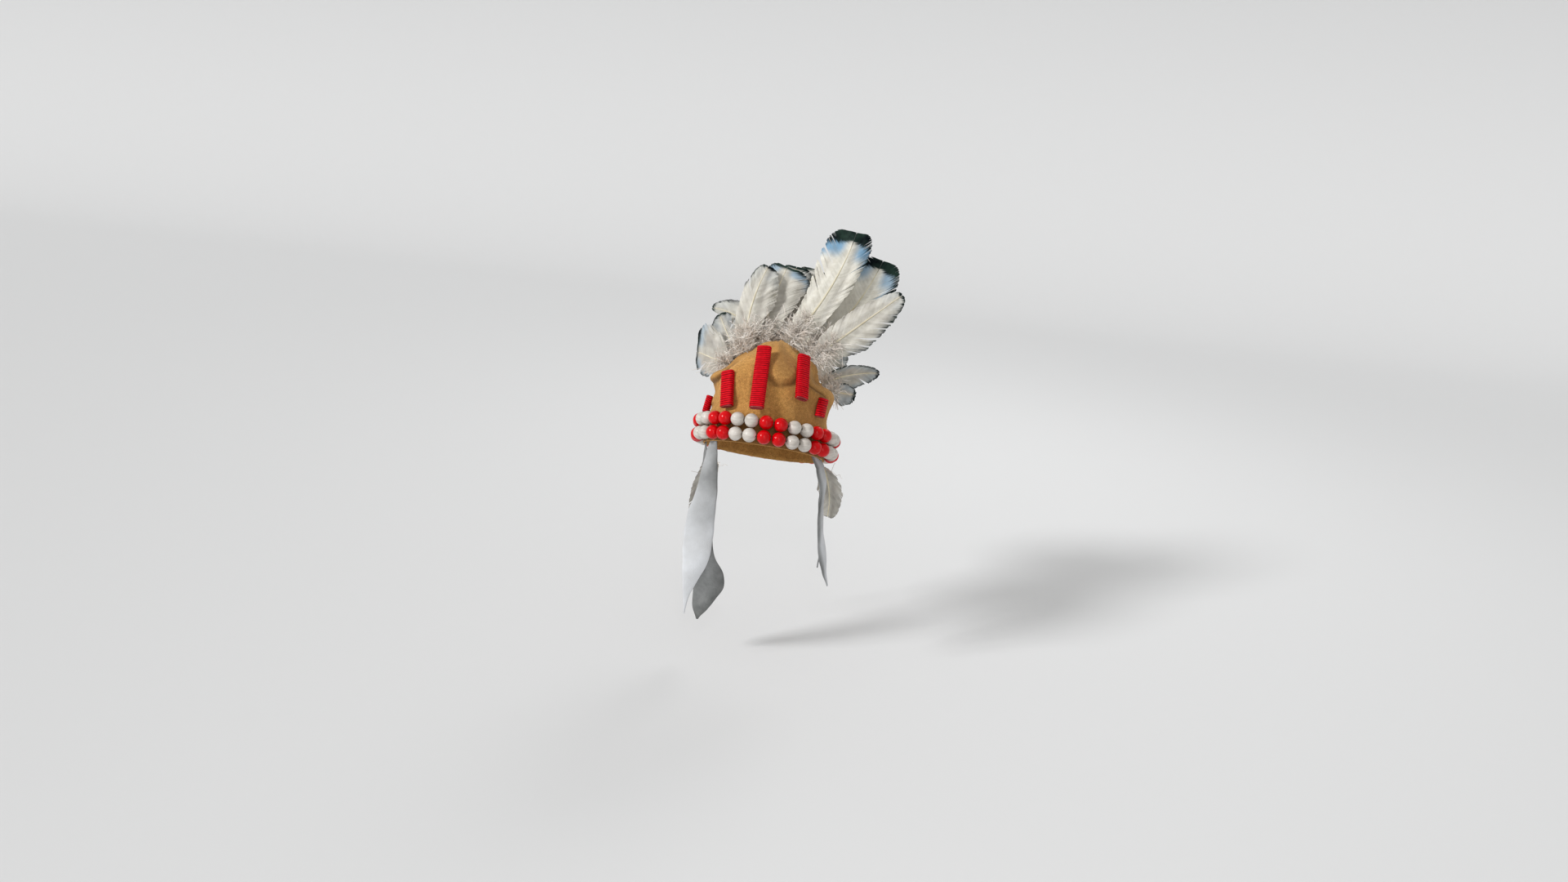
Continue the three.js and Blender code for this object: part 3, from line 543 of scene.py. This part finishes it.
def edge_relief(turn, rise, line, proud, soft, fade, deep, wide):
    """How far a folded edge pushes the felt out, and how much painted shade lies in its crease at
    each place.
    """
    to_mm = np.array([math.radians(1) * FELT_RADIUS, CROWN_HEIGHT])
    degrees = np.degrees(np.arctan2(np.sin(turn), np.cos(turn)))
    place = np.stack([degrees, rise], -1) * to_mm
    line = np.array(line, float) * to_mm
    best = np.full(turn.shape, 1e9)
    signed = np.zeros(turn.shape)
    share = np.zeros(turn.shape)
    lengths = np.linalg.norm(np.diff(line, axis=0), axis=1)
    before = np.concatenate([[0], np.cumsum(lengths)])
    for i, length in enumerate(lengths):
        along = (line[i + 1] - line[i]) / length
        away = place - line[i]
        t = np.clip(away @ along, 0, length)
        gap = away - t[..., None] * along
        distance = np.linalg.norm(gap, axis=-1)
        side = np.sign(along[0] * away[..., 1] - along[1] * away[..., 0])
        closer = distance < best
        best = np.where(closer, distance, best)
        signed = np.where(closer, distance * side, signed)
        share = np.where(closer, (before[i] + t) / before[-1], share)
    ends = smooth(share, 0, 0.15) * (1 - smooth(share, 0.85, 1))
    signed = signed * np.sign(proud)
    raised = smooth(signed, -soft, soft) * np.exp(-np.maximum(signed, 0) / fade)
    sunk = 0.45 * np.exp(-np.abs(signed + soft) / 4) * (signed < 3)
    # Painted shade along the crease at the foot of the step.
    crease = deep * np.exp(-((signed + soft * 0.7) / (wide * soft)) ** 2) * ends
    return abs(proud) * ends * (raised - sunk), crease


def spot_gap(turn, rise, around, height, spread, tall):
    """Half the squared distance from a spot on the crown, in spreads of that spot."""
    away = turn - math.radians(around)
    a = np.arctan2(np.sin(away), np.cos(away)) / math.radians(spread)
    b = (rise - height) / tall
    return (a * a + b * b) / 2


def crown_surface(turn, rise, inset=0.0, detail=True):
    """Points of the felt in the cap's frame, and how much painted shade from creases lies on each.
    """
    push = np.zeros(np.broadcast(turn, rise).shape)
    for *spot, amount in CROWN_FOLDS:
        push = push + amount * np.exp(-spot_gap(turn, rise, *spot))
    gathered = smooth(rise, 0.6, 0.9) * (1 - smooth(rise, 0.94, 1))
    push = push + 2.2 * gathered * np.cos(8 * turn)
    crease = np.zeros_like(push)
    if detail:
        # Each folded edge also gives painted shade along its crease.
        for edge in CROWN_EDGES:
            relief, fold = edge_relief(turn + 0 * rise, rise + 0 * turn, *edge)
            push = push + relief
            crease = np.maximum(crease, fold)
        push = push + 0.5 * np.sin(9 * turn + 7 * rise) * np.sin(23 * rise + 3 * turn)
    push = push - inset
    width = read_column(CROWN_SECTIONS, 1, rise)
    length = read_column(CROWN_SECTIONS, 2, rise)
    lift = smooth(rise, 0.45, 0.97)
    out = push * np.minimum(1 - 0.7 * lift, width * 3)
    points = np.stack([
        np.sin(turn) * (RIM_WIDTH * width + out),
        -np.cos(turn) * (RIM_LENGTH * length + out),
        rise * CROWN_HEIGHT + push * lift + 0 * turn,
    ], -1)
    return points, crease


def make_crown():
    pile = Pile()
    turns = np.linspace(0, 2 * math.pi, FELT_AROUND, endpoint=False)[None, :]
    rises = np.concatenate([np.linspace(0, 0.45, 40, endpoint=False),
                            np.linspace(0.45, 0.95, 90, endpoint=False),
                            np.linspace(0.95, 1.0, 10)])[:, None]
    outer, crease = crown_surface(turns, rises)
    inside = rises[::-1][::4]
    inner, _ = crown_surface(turns, inside, FELT_WALL, detail=False)
    inner_top, _ = crown_surface(turns, inside, FELT_WALL)
    inner = inner * 0.5 + inner_top * 0.5
    # Round the rim's cut edge over.
    rim, _ = crown_surface(turns, rises[:1])
    rim_inner, _ = crown_surface(turns, rises[:1], FELT_WALL)
    round_over = []
    for share in (0.85, 0.5, 0.15):
        edge = rim * share + rim_inner * (1 - share)
        edge[..., 2] -= 0.5 * math.sin(math.pi * share)
        round_over.append(edge)
    rings = np.concatenate([inner, *round_over[::-1], outer])
    # Painted shade in patches over the felt.
    soil = np.zeros_like(crease)
    for *spot, amount in CROWN_SHADE_PATCHES:
        soil = soil + amount * np.exp(-spot_gap(turns, rises, *spot) ** 1.5)
    # The felt behind the beads lies in their shade.
    crease = np.maximum(crease, 0.75 * (1 - smooth(rises, 0.2, 0.27)))
    crease_shades = np.zeros(rings.shape[:2])
    crease_shades[-len(outer):] = crease
    shade_patches = np.zeros(rings.shape[:2])
    shade_patches[-len(outer):] = soil
    pile.grids(to_world(rings)[None], 0, wrap=True, crease=crease_shades[None], soil=shade_patches[None])
    nap(pile, outer, crease, soil)
    crown = pile.make("felt_crown_cloth", [FELT])
    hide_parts("felt_crown")


def nap(pile, outer, crease, soil):
    """Short loose fibres that stand off the felt."""
    rng = np.random.default_rng(11)
    n, m, _ = outer.shape
    count = NAP_FIBRES
    i = rng.integers(1, n - 12, count)
    j = rng.integers(0, m, count)
    here = outer[i, j]
    across = outer[i, (j + 1) % m] - here
    up = outer[i + 1, j] - here
    out = unit(np.cross(across, up))
    lie = unit(across) * rng.normal(0, 1, (count, 1)) + unit(up) * rng.normal(0, 1, (count, 1))
    way = unit(unit(lie) + out * rng.uniform(0.1, 0.9, (count, 1)))
    length = rng.uniform(0.8, 2.2, (count, 1))
    side = unit(np.cross(way, out)) * NAP_WIDTH
    start = here + across * rng.uniform(0, 1, (count, 1)) - out * 0.1
    points = np.stack([start - side, start + side, start + way * length], 1)
    # The fibres carry the felt's painted shade from its creases and patches.
    pile.slivers(to_world(points), 0, crease=np.repeat(crease[i, j], 3),
                 soil=np.repeat(soil[i, j], 3))


# Beads

def ring_places(shares):
    """Points on the ring that the bead centres lie on, by share of its length from the front."""
    fine = np.linspace(-math.pi / 2, 1.5 * math.pi, 20001)
    away = CLEARANCE + BEAD_RADIUS
    line = np.stack([(RIM_WIDTH + away) * np.cos(fine), (RIM_LENGTH + away) * np.sin(fine)], 1)
    run = np.concatenate([[0], np.cumsum(np.linalg.norm(np.diff(line, axis=0), axis=1))])
    at = (np.asarray(shares) % 1) * run[-1]
    return np.stack([np.interp(at, run, line[:, 0]), np.interp(at, run, line[:, 1])], -1)


def make_beads(name, height, seed):
    rng = np.random.default_rng(seed)
    pile = Pile()
    hole = math.asin(BEAD_HOLE_RADIUS / BEAD_RADIUS)
    polar = np.linspace(hole, math.pi - hole, BEAD_RINGS)
    around = np.linspace(0, 2 * math.pi, BEAD_AROUND, endpoint=False)
    for bead in range(BEAD_COUNT):
        share = (bead + BEAD_SHIFT) / BEAD_COUNT
        flat = ring_places([share, share + 0.002])
        centre = np.array([*flat[0], height])
        along = unit(np.array([*(flat[1] - flat[0]), 0]))
        up = np.array([0, 0, 1.0])
        out = np.cross(along, up)
        red = bead % 4 in (1, 2)
        size = BEAD_RADIUS * (1 + rng.uniform(-0.012, 0.004)) * (1.0 if red else 0.985)
        turn = rng.uniform(0, 6.28)
        tip = rng.normal(0, 0.05, 2)
        axis = unit(along + up * tip[0] + out * tip[1])
        up = unit(np.cross(np.cross(axis, up), axis))
        out = np.cross(axis, up)
        radius = np.sin(polar)[:, None] * (1 + 0 * around)
        if not red:
            dent = sum(rng.uniform(0.008, 0.018) * np.cos(k * around[None] + rng.uniform(0, 6.28))
                       * np.cos(2 * polar[:, None] + rng.uniform(0, 6.28)) for k in (2, 3, 5))
            radius = radius * (1 + dent)
        ring = circle(around + turn, up, out)[None]
        body = centre + size * (np.cos(polar)[:, None, None] * axis + radius[..., None] * ring)
        # Turn the surface into the thread hole at both ends.
        lips = [centre + size * (end * math.cos(hole) * 0.86 * axis + math.sin(hole) * 0.8 * ring)
                for end in (1, -1)]
        surface = np.concatenate([lips[0], body, lips[1]])
        pile.grids(to_world(surface)[None], 0 if red else 1, wrap=True)
    thread = ring_places(np.arange(THREAD_STEPS) / THREAD_STEPS)
    out = unit(np.concatenate([thread, np.zeros((THREAD_STEPS, 1))], 1))
    thread = np.concatenate([thread, np.full((THREAD_STEPS, 1), height)], 1)
    sides = np.linspace(0, 2 * math.pi, 8, endpoint=False)
    tube = thread[:, None] + THREAD_RADIUS * circle(sides, out[:, None], np.array([0, 0, 1.0]))
    pile.grids(to_world(tube)[None], 2, wrap=True, wrap_rows=True)
    string = pile.make(name + "_round", [RED_BEAD, WHITE_BEAD, THREAD])
    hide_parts(name)


# Bars

def make_bar(name, seed):
    rng = np.random.default_rng(seed)
    foot, across, up, length, width = BARS[name]
    foot, across, up = np.array(foot), unit(across), unit(up)
    inward = unit(np.cross(up, across))
    pile = Pile()

    def outline(angle, inset):
        x = np.sign(np.cos(angle)) * np.abs(np.cos(angle)) ** 0.62 * (width / 2 - inset)
        y = np.sign(np.sin(angle)) * np.abs(np.sin(angle)) ** 0.72 * (BAR_DEPTH / 2 - inset)
        return x[..., None] * across + y[..., None] * inward

    angle = np.linspace(0, 2 * math.pi, BAR_AROUND, endpoint=False) + 0.07
    windings = int(round((length - 2 * BAR_END) / CORD_PITCH))
    pitch = (length - 2 * BAR_END) / windings
    profile = np.array([-0.5, -0.43, -0.3, -0.1, 0.1, 0.3, 0.43])
    height = CORD_HEIGHT * np.sqrt(np.maximum(1 - (profile * 2) ** 2, 0)) ** 1.3
    z, inset = [], []
    wander = rng.normal(0, 0.09, (windings, 3))
    for turn in range(windings):
        drift = (wander[turn, 0] * np.sin(angle) + wander[turn, 1] * np.cos(angle)
                 + wander[turn, 2] * np.sin(2 * angle))
        lift = 0.08 * np.sin(angle + wander[turn, 0] * 30)
        for place, rise in zip(profile, height):
            z.append(BAR_END + (turn + 0.5 + place + 0.35 * (angle / (2 * math.pi) - 0.5)) * pitch
                     + drift * (1 if abs(place) < 0.46 else 0.5))
            inset.append(CORD_HEIGHT - rise - lift * (1 if abs(place) < 0.46 else 0) + 0 * angle)
    z = np.clip(np.array(z), 0.2, length - 0.2)
    inset = np.array(inset)
    surface = foot + outline(np.broadcast_to(angle, z.shape), inset) + z[..., None] * up
    # Painted shade in the grooves between the windings.
    groove = np.tile(1 - height / CORD_HEIGHT, windings)[:, None] ** 1.1 + 0 * angle
    pile.grids(surface[None], 0, wrap=True, groove=groove[None])
    # The tube that it's wound on, outside, over the ends and down the inside.
    sections = [(0.9, 1.0), (0.9, 0.35), (1.15, 0.0), (BAR_WALL - 0.3, 0.0), (BAR_WALL, 0.3),
                (BAR_WALL, length - 0.3), (BAR_WALL - 0.3, length), (1.15, length),
                (0.9, length - 0.35), (0.9, length - 1.0)]
    tube = np.stack([foot + outline(angle, np.full_like(angle, step)) + at * up
                     for step, at in sections])
    pile.grids(tube[None], 1, wrap=True)
    bar = pile.make(name + "_wound", [CORD, CORE])
    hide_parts(name)


# Feathers

def value_noise(rng, count, knots):
    """A smooth random line of count values between -1 and 1."""
    at = np.linspace(0, knots, count)
    return np.interp(at, np.arange(knots + 2), rng.uniform(-1, 1, knots + 2))


def clumps(rng, place, length):
    """Which clump of barbs each place belongs to, where it lies in it (-1 to 1), and widths."""
    edges = [0.0]
    while edges[-1] < length:
        edges.append(edges[-1] + rng.uniform(3, 12))
    edges = np.array(edges)
    index = np.clip(np.searchsorted(edges, place, side="right") - 1, 0, len(edges) - 2)
    width = np.diff(edges)
    across = 2 * (place - edges[index]) / width[index] - 1
    return index, across, width


def feather_frame(lean, back, hanging):
    """The directions along and across a feather, from its lean and back in degrees."""
    lean, back = math.radians(lean), math.radians(back)
    if hanging:
        return (np.array([math.sin(lean), 0, -math.cos(lean)]),
                np.array([-math.cos(lean), 0, -math.sin(lean)]))
    direction = np.array([math.sin(lean) * math.cos(back), math.sin(back),
                          math.cos(lean) * math.cos(back)])
    return to_world(direction), to_world(np.array([math.cos(lean), 0, -math.sin(lean)]))


def make_feather(name, row, seed, hanging=False):
    rng = np.random.default_rng(seed)
    marks = dict(zip(MARK_NAMES, MARKS.get(name, MARKS["hanging" if hanging else "plain"])))
    seat, length, width, lean, back, bow, curl, turn, full, blunt, offset = row
    direction, side = feather_frame(lean, back, hanging)
    seat, turn = np.array(seat), math.radians(turn)
    depth = unit(np.cross(direction, side))
    pile = Pile()

    def shaft_at(s):
        s = np.asarray(s)[..., None]
        return (seat + direction * length * s + side * length * bow * 4 * s * (1 - s)
                + depth * length * curl * s * s)

    def frame_at(s):
        tangent = unit(shaft_at(s + 0.01) - shaft_at(s - 0.01))
        across = side * math.cos(turn) + depth * math.sin(turn)
        across = unit(across - (tangent @ across)[..., None] * tangent)
        return tangent, across, np.cross(across, tangent)

    def half_width(s):
        grow = smooth(s, 0.04, full)
        tip = np.minimum(1, np.power(np.clip((1 - s) / (1 - full), 0, None), 0.5 - 0.35 * blunt))
        foot = smooth(s, 0.03, 0.13)
        spread = marks["spread"] * (width / 2) * (0.55 + 0.45 * grow) * tip * foot
        return spread, offset * spread * grow * foot

    # Vane: each barb is a narrow ribbon from the shaft to the edge.
    widest = max(float(half_width(full)[0]), 1.0)
    count = int(length / BARB_PITCH)
    u = np.linspace(0, 1, BARB_POINTS)[None, :]
    wave = rng.uniform(0, 6.28, 4)
    fold_count = rng.uniform(2.0, 3.2)
    fold_phase = {1: rng.uniform(0, 6.28), -1: rng.uniform(0, 6.28)}
    for hand in (1, -1):
        start = np.linspace(0.075, 0.992, count)[:, None]
        reach = 1.15 * half_width(np.minimum(start + 0.08, 0.93))[0] / length
        room = 0.85 * (1 - start)
        stop = start + reach * room / (reach ** 3 + room ** 3) ** (1 / 3)
        along = start + (stop - start) * u ** 1.25
        spread, lop = half_width(np.minimum(stop, 0.9995))
        clump, across_clump, clump_width = clumps(rng, start[:, 0] * length, length)
        part = rng.uniform(0.0, 0.12, clump.max() + 1)
        part[rng.random(len(part)) < 0.1] = 0.22
        short = 0.06 * rng.random(clump.max() + 1) ** 2
        ragged = 1 - short[clump] - 0.05 * np.abs(across_clump) ** 3
        ragged = ragged[:, None] - 0.04 * rng.random((count, 1)) ** 4
        edge = (spread + hand * lop) * ragged
        gather = part[clump] * across_clump * clump_width[clump] / 2
        along = along - (gather / length)[:, None] * u ** 2.5
        for which, place, gap in marks["splits"]:
            if which != hand:
                continue
            away = (start - place) * length
            along = along + (np.sign(away) * gap * np.exp(-np.abs(away) / 9) / length) * u ** 2
            edge = edge * (1 + 0.05 * np.where(away < 0, np.exp(away / 8), 0))
        along = np.minimum(along, 0.999)
        lateral = hand * (0.4 + edge * u ** 0.93)
        tangent, across, front = frame_at(along)
        reach_share = np.abs(lateral) / widest
        off_shaft = smooth(reach_share, 0.08, 0.35)
        camber = -CAMBER * (width / 2) * reach_share ** 2
        ripple = (1.6 * reach_share * np.sin(along * 19 + wave[0] + 2 * u)
                  + 1.1 * reach_share * np.sin(along * 43 + wave[1] - 3 * u) * (u ** 2)
                  + 0.9 * reach_share * np.sin(along * 9 + wave[2]))
        tilt_up = rng.normal(0, 1, clump.max() + 1)[clump] * across_clump
        ripple = ripple + 0.7 * tilt_up[:, None] * reach_share * u
        fold = np.sin(fold_count * math.pi * reach_share + fold_phase[hand] + 4 * (along - 0.5))
        ripple = ripple + FOLD_DEPTH * off_shaft * smooth(along, 0.08, 0.3) * fold
        # Painted shade in the valleys of the vane's folds.
        valley_shade = (0.5 - 0.5 * fold) ** 3 * off_shaft
        layer = rng.uniform(-0.16, 0.16, (count, 1))
        rise = camber + ripple + layer + 0.2
        slant = marks["slant"] * lateral / widest * smooth(along, 0.3, 0.95)
        line = (shaft_at(along) + across * lateral[..., None] + front * rise[..., None]
                + tangent * slant[..., None])
        run = unit(np.gradient(line, axis=1))
        flat = unit(np.cross(run, front))
        wide = 0.62 * length / count * 0.92 * (1 - 0.45 * u ** 4) + 0.12
        tilt = front * 0.12
        spread_out = flat * wide[..., None] + tilt
        ribbon = np.stack([line - spread_out, line + spread_out], 2)
        dark, blue = vane_marks(marks, along, lateral, hand, length, half_width, rng, count)
        shade = 0.4 * smooth(u, 0.0, 0.1) * (1 - smooth(u, 0.1, 0.4)) * (
            0.5 + 0.5 * value_noise(rng, count, count // 3)[:, None])
        gap_shade = (0.1 + 0.5 * (part[clump] > 0.15)) * np.abs(across_clump) ** 4
        streak = 0.24 * np.clip(value_noise(rng, count, count // 9), 0, 1)[:, None] * smooth(
            u, 0.05, 0.5)
        shade = np.clip(shade + gap_shade[:, None] * u + streak, 0, 1)
        mottled = marks["mottle"] * (0.6 + 0.4 * value_noise(rng, count, count // 4)[:, None])
        mottled = np.clip(mottled + 0 * u, 0, 1)
        dull = marks["dull"] * (1 + 0.5 * value_noise(rng, count, count // 6))[:, None]
        dull = np.clip(dull + 0.3 * valley_shade, 0, 1)
        tone = {"dark": dark, "blue": blue, "shade": shade, "mottle": mottled, "dull": dull}
        tone = {key: np.repeat(value[..., None], 2, 2) for key, value in tone.items()}
        pile.grids(ribbon, 0, **tone)

    add_shaft(pile, shaft_at, frame_at, marks["tip"], length)
    count, forward = marks["down"]
    add_down(pile, rng, shaft_at, frame_at, length, width, count, forward)
    plume = pile.make(name + "_plume", [VANE, SHAFT, DOWN])
    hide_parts(name)


def add_shaft(pile, shaft_at, frame_at, tip, length):
    """The round shaft down the middle of a vane, dark where the vane's tip is dark."""
    s = np.linspace(0, 0.985, 36)
    _, across, front = frame_at(s)
    radius = SHAFT_RADIUS * (1 - 0.78 * s) * np.where(s < 0.02, 0.8, 1)
    around = np.linspace(0, 2 * math.pi, 8, endpoint=False)
    ring = circle(around, across[:, None], front[:, None] * 0.9)
    tube = (shaft_at(s) + front * 0.35)[:, None] + ring * radius[:, None, None]
    dark = smooth(s, 1 - 1.2 * tip / length, 1 - 0.8 * tip / length)
    dark = np.broadcast_to(dark[:, None], (len(s), 8))
    pile.grids(tube[None], 1, wrap=True, dark=dark[None])
    pile.caps(tube[0], 1, flip=True)
    pile.caps(tube[-1], 1)


def vane_marks(marks, along, lateral, hand, length, half_width, rng, count):
    """How dark and how blue each place of a vane is."""
    spread, lop = half_width(np.clip(along, 0, 0.9995))
    to_edge = np.maximum(spread + hand * lop - np.abs(lateral), 0)
    to_tip = (1 - along) * length
    jag = value_noise(rng, count, count // 3)[:, None] + 0.6 * rng.uniform(-1, 1, (count, 1))
    share = np.abs(lateral) / np.maximum(spread, 1)
    depth = marks["tip"] * (0.75 + 0.35 * share) + 1.5 * jag
    tip = 1 - smooth(to_tip, depth - 2, depth + 2.5)
    low = marks["left"] if hand > 0 else marks["right"]
    reaches = smooth(along, low - 0.02, low + 0.05)
    rim_width = marks["rim"] * np.clip(0.8 + 0.75 * jag, 0.1, 2)
    rim = (1 - smooth(to_edge, rim_width * 0.5, rim_width + 1.2)) * reaches
    dark = np.clip(np.maximum(tip, rim), 0, 1)
    glow = marks["glow"]
    near_tip = 1 - smooth(to_tip, depth + 9 * glow, depth + 30 * glow)
    near_rim = (1 - smooth(to_edge, rim_width + 2, rim_width + 7)) * reaches
    blue = marks["blue"] * np.maximum(near_tip * smooth(share, 0.05, 0.45), near_rim * 0.8)
    return dark, np.clip(blue, 0, 1)


def add_down(pile, rng, shaft_at, frame_at, length, width, count, forward):
    """Soft curling strands at the foot of a feather, each with its own fine hairs."""
    s = 0.012 + rng.beta(1.2, 2.0, count) * min(0.34, 50 / length)
    tangent, across, front = frame_at(s)
    hand = rng.choice([-1.0, 1.0], (count, 1))
    way = unit(across * hand * rng.uniform(0.25, 1.2, (count, 1))
               + tangent * rng.uniform(-0.3, 0.9, (count, 1))
               + front * rng.normal(forward, 0.45, (count, 1)))
    size = rng.uniform(0.35, 1.0, (count, 1)) * min(27, 0.5 * width + 6)
    bend = unit(rng.normal(0, 1, (count, 3)) + np.array([0, -0.2, -0.6])) * rng.uniform(
        0.2, 0.7, (count, 1))
    t = np.linspace(0, 1, DOWN_STEPS)[None, :, None]
    curl = rng.normal(0, 1, (count, 1, 3)) * 0.1
    deep = rng.random(count) ** 1.8 * 0.66
    line = (shaft_at(s)[:, None] + size[:, None] * (way[:, None] * t + bend[:, None] * t * t
                                                    + curl * np.sin(t * 8)))
    run = unit(np.gradient(line, axis=1))
    flat = unit(np.cross(run, front[:, None] + 0.3 * bend[:, None]))
    wide = STRAND_WIDTH * (1 - 0.5 * t)
    pile.grids(np.stack([line - flat * wide, line + flat * wide], 2), 2,
               shade=deep[:, None, None] + np.zeros((1, DOWN_STEPS, 2)))
    at = rng.uniform(0.05, 1, (count, DOWN_HAIRS))
    place = at * (DOWN_STEPS - 1)
    low = np.minimum(place.astype(int), DOWN_STEPS - 2)
    part = (place - low)[..., None]
    pick = np.arange(count)[:, None]
    root = line[pick, low] * (1 - part) + line[pick, low + 1] * part
    along = run[pick, low]
    off = unit(np.cross(along, rng.normal(0, 1, (count, DOWN_HAIRS, 3))))
    hair = unit(off + along * rng.uniform(0.1, 1.0, (count, DOWN_HAIRS, 1)))
    hair_length = rng.uniform(1.8, 5.5, (count, DOWN_HAIRS, 1)) * (1.1 - 0.6 * at[..., None])
    base = unit(np.cross(hair, off + 0.2)) * HAIR_WIDTH
    points = np.stack([root - base, root + base, root + hair * hair_length], 2)
    pile.slivers(points.reshape(-1, 3, 3), 2, shade=np.repeat(deep, DOWN_HAIRS * 3))


# Strips

def rim_place(turn, inset, height):
    point, _ = crown_surface(np.asarray(turn, float), np.zeros(np.shape(turn)), inset, detail=False)
    point[..., 2] = height
    return to_world(point)


def make_strip(name, seed):
    rng = np.random.default_rng(seed)
    seat, length, rows = STRIPS[name]
    turn = math.radians(seat)
    inset = FELT_WALL + CLEARANCE + STRIP_THICKNESS / 2
    foot = rim_place(turn, inset, 0)
    columns = np.linspace(-1, 1, STRIP_COLUMNS)
    sections, outs = [], []
    lap = rows[0][3] * STRIP_WIDTH
    for height in np.linspace(STRIP_LAP, 0, 6):
        at = turn + columns * 0.5 * lap / RIM_RADIUS
        centre = rim_place(at, inset, height)
        sections.append(centre)
        outs.append(unit(rim_place(at, inset - 1, height) - centre))
    table = np.array(rows)
    drops = np.linspace(table[0, 0], 1, 64)
    phase = rng.uniform(0, 6.28, 3)
    for drop in drops:
        left, back, wide, facing = (read_column(table, k, np.array(drop)) for k in range(1, 5))
        wide = max(float(wide), 0.03)
        face = math.radians(float(facing))
        along = np.array([math.cos(face), math.sin(face), 0])
        out = np.array([math.sin(face), -math.cos(face), 0])
        centre = foot + np.array([left * STRIP_WIDTH, back * STRIP_WIDTH, -drop * length])
        half = wide * STRIP_WIDTH / 2
        loose = smooth(drop, table[0, 0], table[0, 0] + 0.12)
        wave = loose * (0.9 * np.sin(drop * 9 + phase[0] + columns * 0.8)
                        + 0.5 * np.sin(drop * 21 + phase[1] + columns * 1.5))
        nick = 1 + loose * 0.012 * math.sin(drop * 55 + phase[2])
        bulge = 0.16 * half * (1 - columns ** 2) + wave * min(1, half / 8)
        sections.append(centre + along * (columns * half * nick)[:, None] + out * bulge[:, None])
        outs.append(np.broadcast_to(out, (len(columns), 3)))
    sections, outs = np.array(sections), np.array(outs)
    # The cut edges are a little thinner than the middle.
    thick = (STRIP_THICKNESS / 2) * (1 - 0.55 * np.abs(columns) ** 6)[None, :, None]
    front = sections + outs * thick
    behind = sections - outs * thick
    ring = np.concatenate([front, behind[:, ::-1]], 1)
    # Painted shade greys the leather: near the rim, down one side, and all over the strips behind.
    share = np.linspace(0, 1, len(sections))[:, None]
    base, top, side = STRIP_SHADE[name]
    patch = value_noise(rng, len(sections), 9)[:, None]
    across = columns[None, :] * 0.5 + 0.5
    worn = base + top * (1 - smooth(share, 0.2, 0.62)) * (0.55 + 0.45 * across)
    worn = worn + side * (1 - smooth(across, 0.05, 0.4)) + 0.12 * patch
    worn = np.clip(worn, 0, 1)
    pile = Pile()
    pile.grids(ring[None], 0, wrap=True, worn=np.concatenate([worn, worn[:, ::-1]], 1)[None])
    pile.caps(ring[0], 0, flip=True)
    pile.caps(ring[-1], 0)
    strip = pile.make(name + "_leather", [LEATHER])
    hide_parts(name)


make_crown()
for order, (name, height) in enumerate(BEAD_ROWS.items()):
    make_beads(name, height, 21 + order)
for order, bar in enumerate(BARS):
    make_bar(bar, 31 + order)
for order, (name, row) in enumerate(FEATHERS.items()):
    make_feather(name, row, 51 + order)
for order, (name, row) in enumerate(HANGING.items()):
    make_feather(name, row, 81 + order, hanging=True)
for order, strip in enumerate(STRIPS):
    make_strip(strip, 91 + order)


# Floor, light and camera

def make_stage():
    """A pale floor that curves up behind into a plain backdrop."""
    floor_height, back, radius, half = -300, 2600, 1500, 9000
    angles = np.linspace(0, math.pi / 2, 24)
    line = [(-6000, floor_height), (back, floor_height)]
    line += [(back + radius * math.sin(a), floor_height + radius * (1 - math.cos(a)))
             for a in angles[1:]]
    line.append((back + radius, 9000))
    points = np.array([[(-half, y, z), (half, y, z)] for y, z in line], float)
    pile = Pile()
    pile.grids(points[None], 0)
    material, _, shader = new_material("floor_pale")
    shader.inputs["Base Color"].default_value = (0.708, 0.713, 0.718, 1)
    shader.inputs["Roughness"].default_value = 0.95
    shader.inputs["Specular IOR Level"].default_value = 0.1
    floor = pile.make("floor", [material])
    world = bpy.data.worlds.new("studio")
    bpy.context.scene.world = world
    world.use_nodes = True
    background = world.node_tree.nodes["Background"]
    background.inputs["Color"].default_value = (1.0, 0.99, 0.97, 1)
    background.inputs["Strength"].default_value = 0.47
    bpy.context.scene.view_settings.view_transform = "Standard"


def make_light(name, kind, place, aim, size, power):
    light = bpy.data.lights.new(name, kind)
    light.energy = power
    if kind == "SUN":
        light.angle = math.radians(size)
    else:
        light.shape = "DISK"
        light.size = size
    obj = bpy.data.objects.new(name, light)
    obj.location = place
    obj.rotation_mode = "QUATERNION"
    obj.rotation_quaternion = (Vector(aim) - Vector(place)).to_track_quat("-Z", "Y")
    bpy.context.scene.collection.objects.link(obj)


def make_camera():
    camera = bpy.data.cameras.new("photo_view")
    camera.sensor_width = 36
    camera.lens = 24.45
    obj = bpy.data.objects.new("photo_view", camera)
    right = Vector((0.9774, 0.1972, 0.0754))
    up = Vector((-0.1316, 0.2896, 0.9481))
    back = right.cross(up)
    turn = Matrix((right, up, back)).transposed().to_4x4()
    obj.matrix_world = Matrix.Translation((0.2569, -1.3098, 0.4512)) @ turn
    bpy.context.scene.collection.objects.link(obj)
    bpy.context.scene.camera = obj


make_stage()
make_light("key", "SUN", (-1.5, -1.15, 1.3), (0, 0, 0.05), 12, 2.15)
make_light("fill", "AREA", (0.5, -1.5, 0.4), (0, 0, 0.0), 0.8, 2.0)
make_light("rim", "AREA", (0.4, 1.3, 1.2), (0, 0, 0.1), 0.8, 6)
make_light("glint", "AREA", (0.3, -1.4, 1.0), (0, 0, 0.05), 0.22, 1.6)
make_camera()
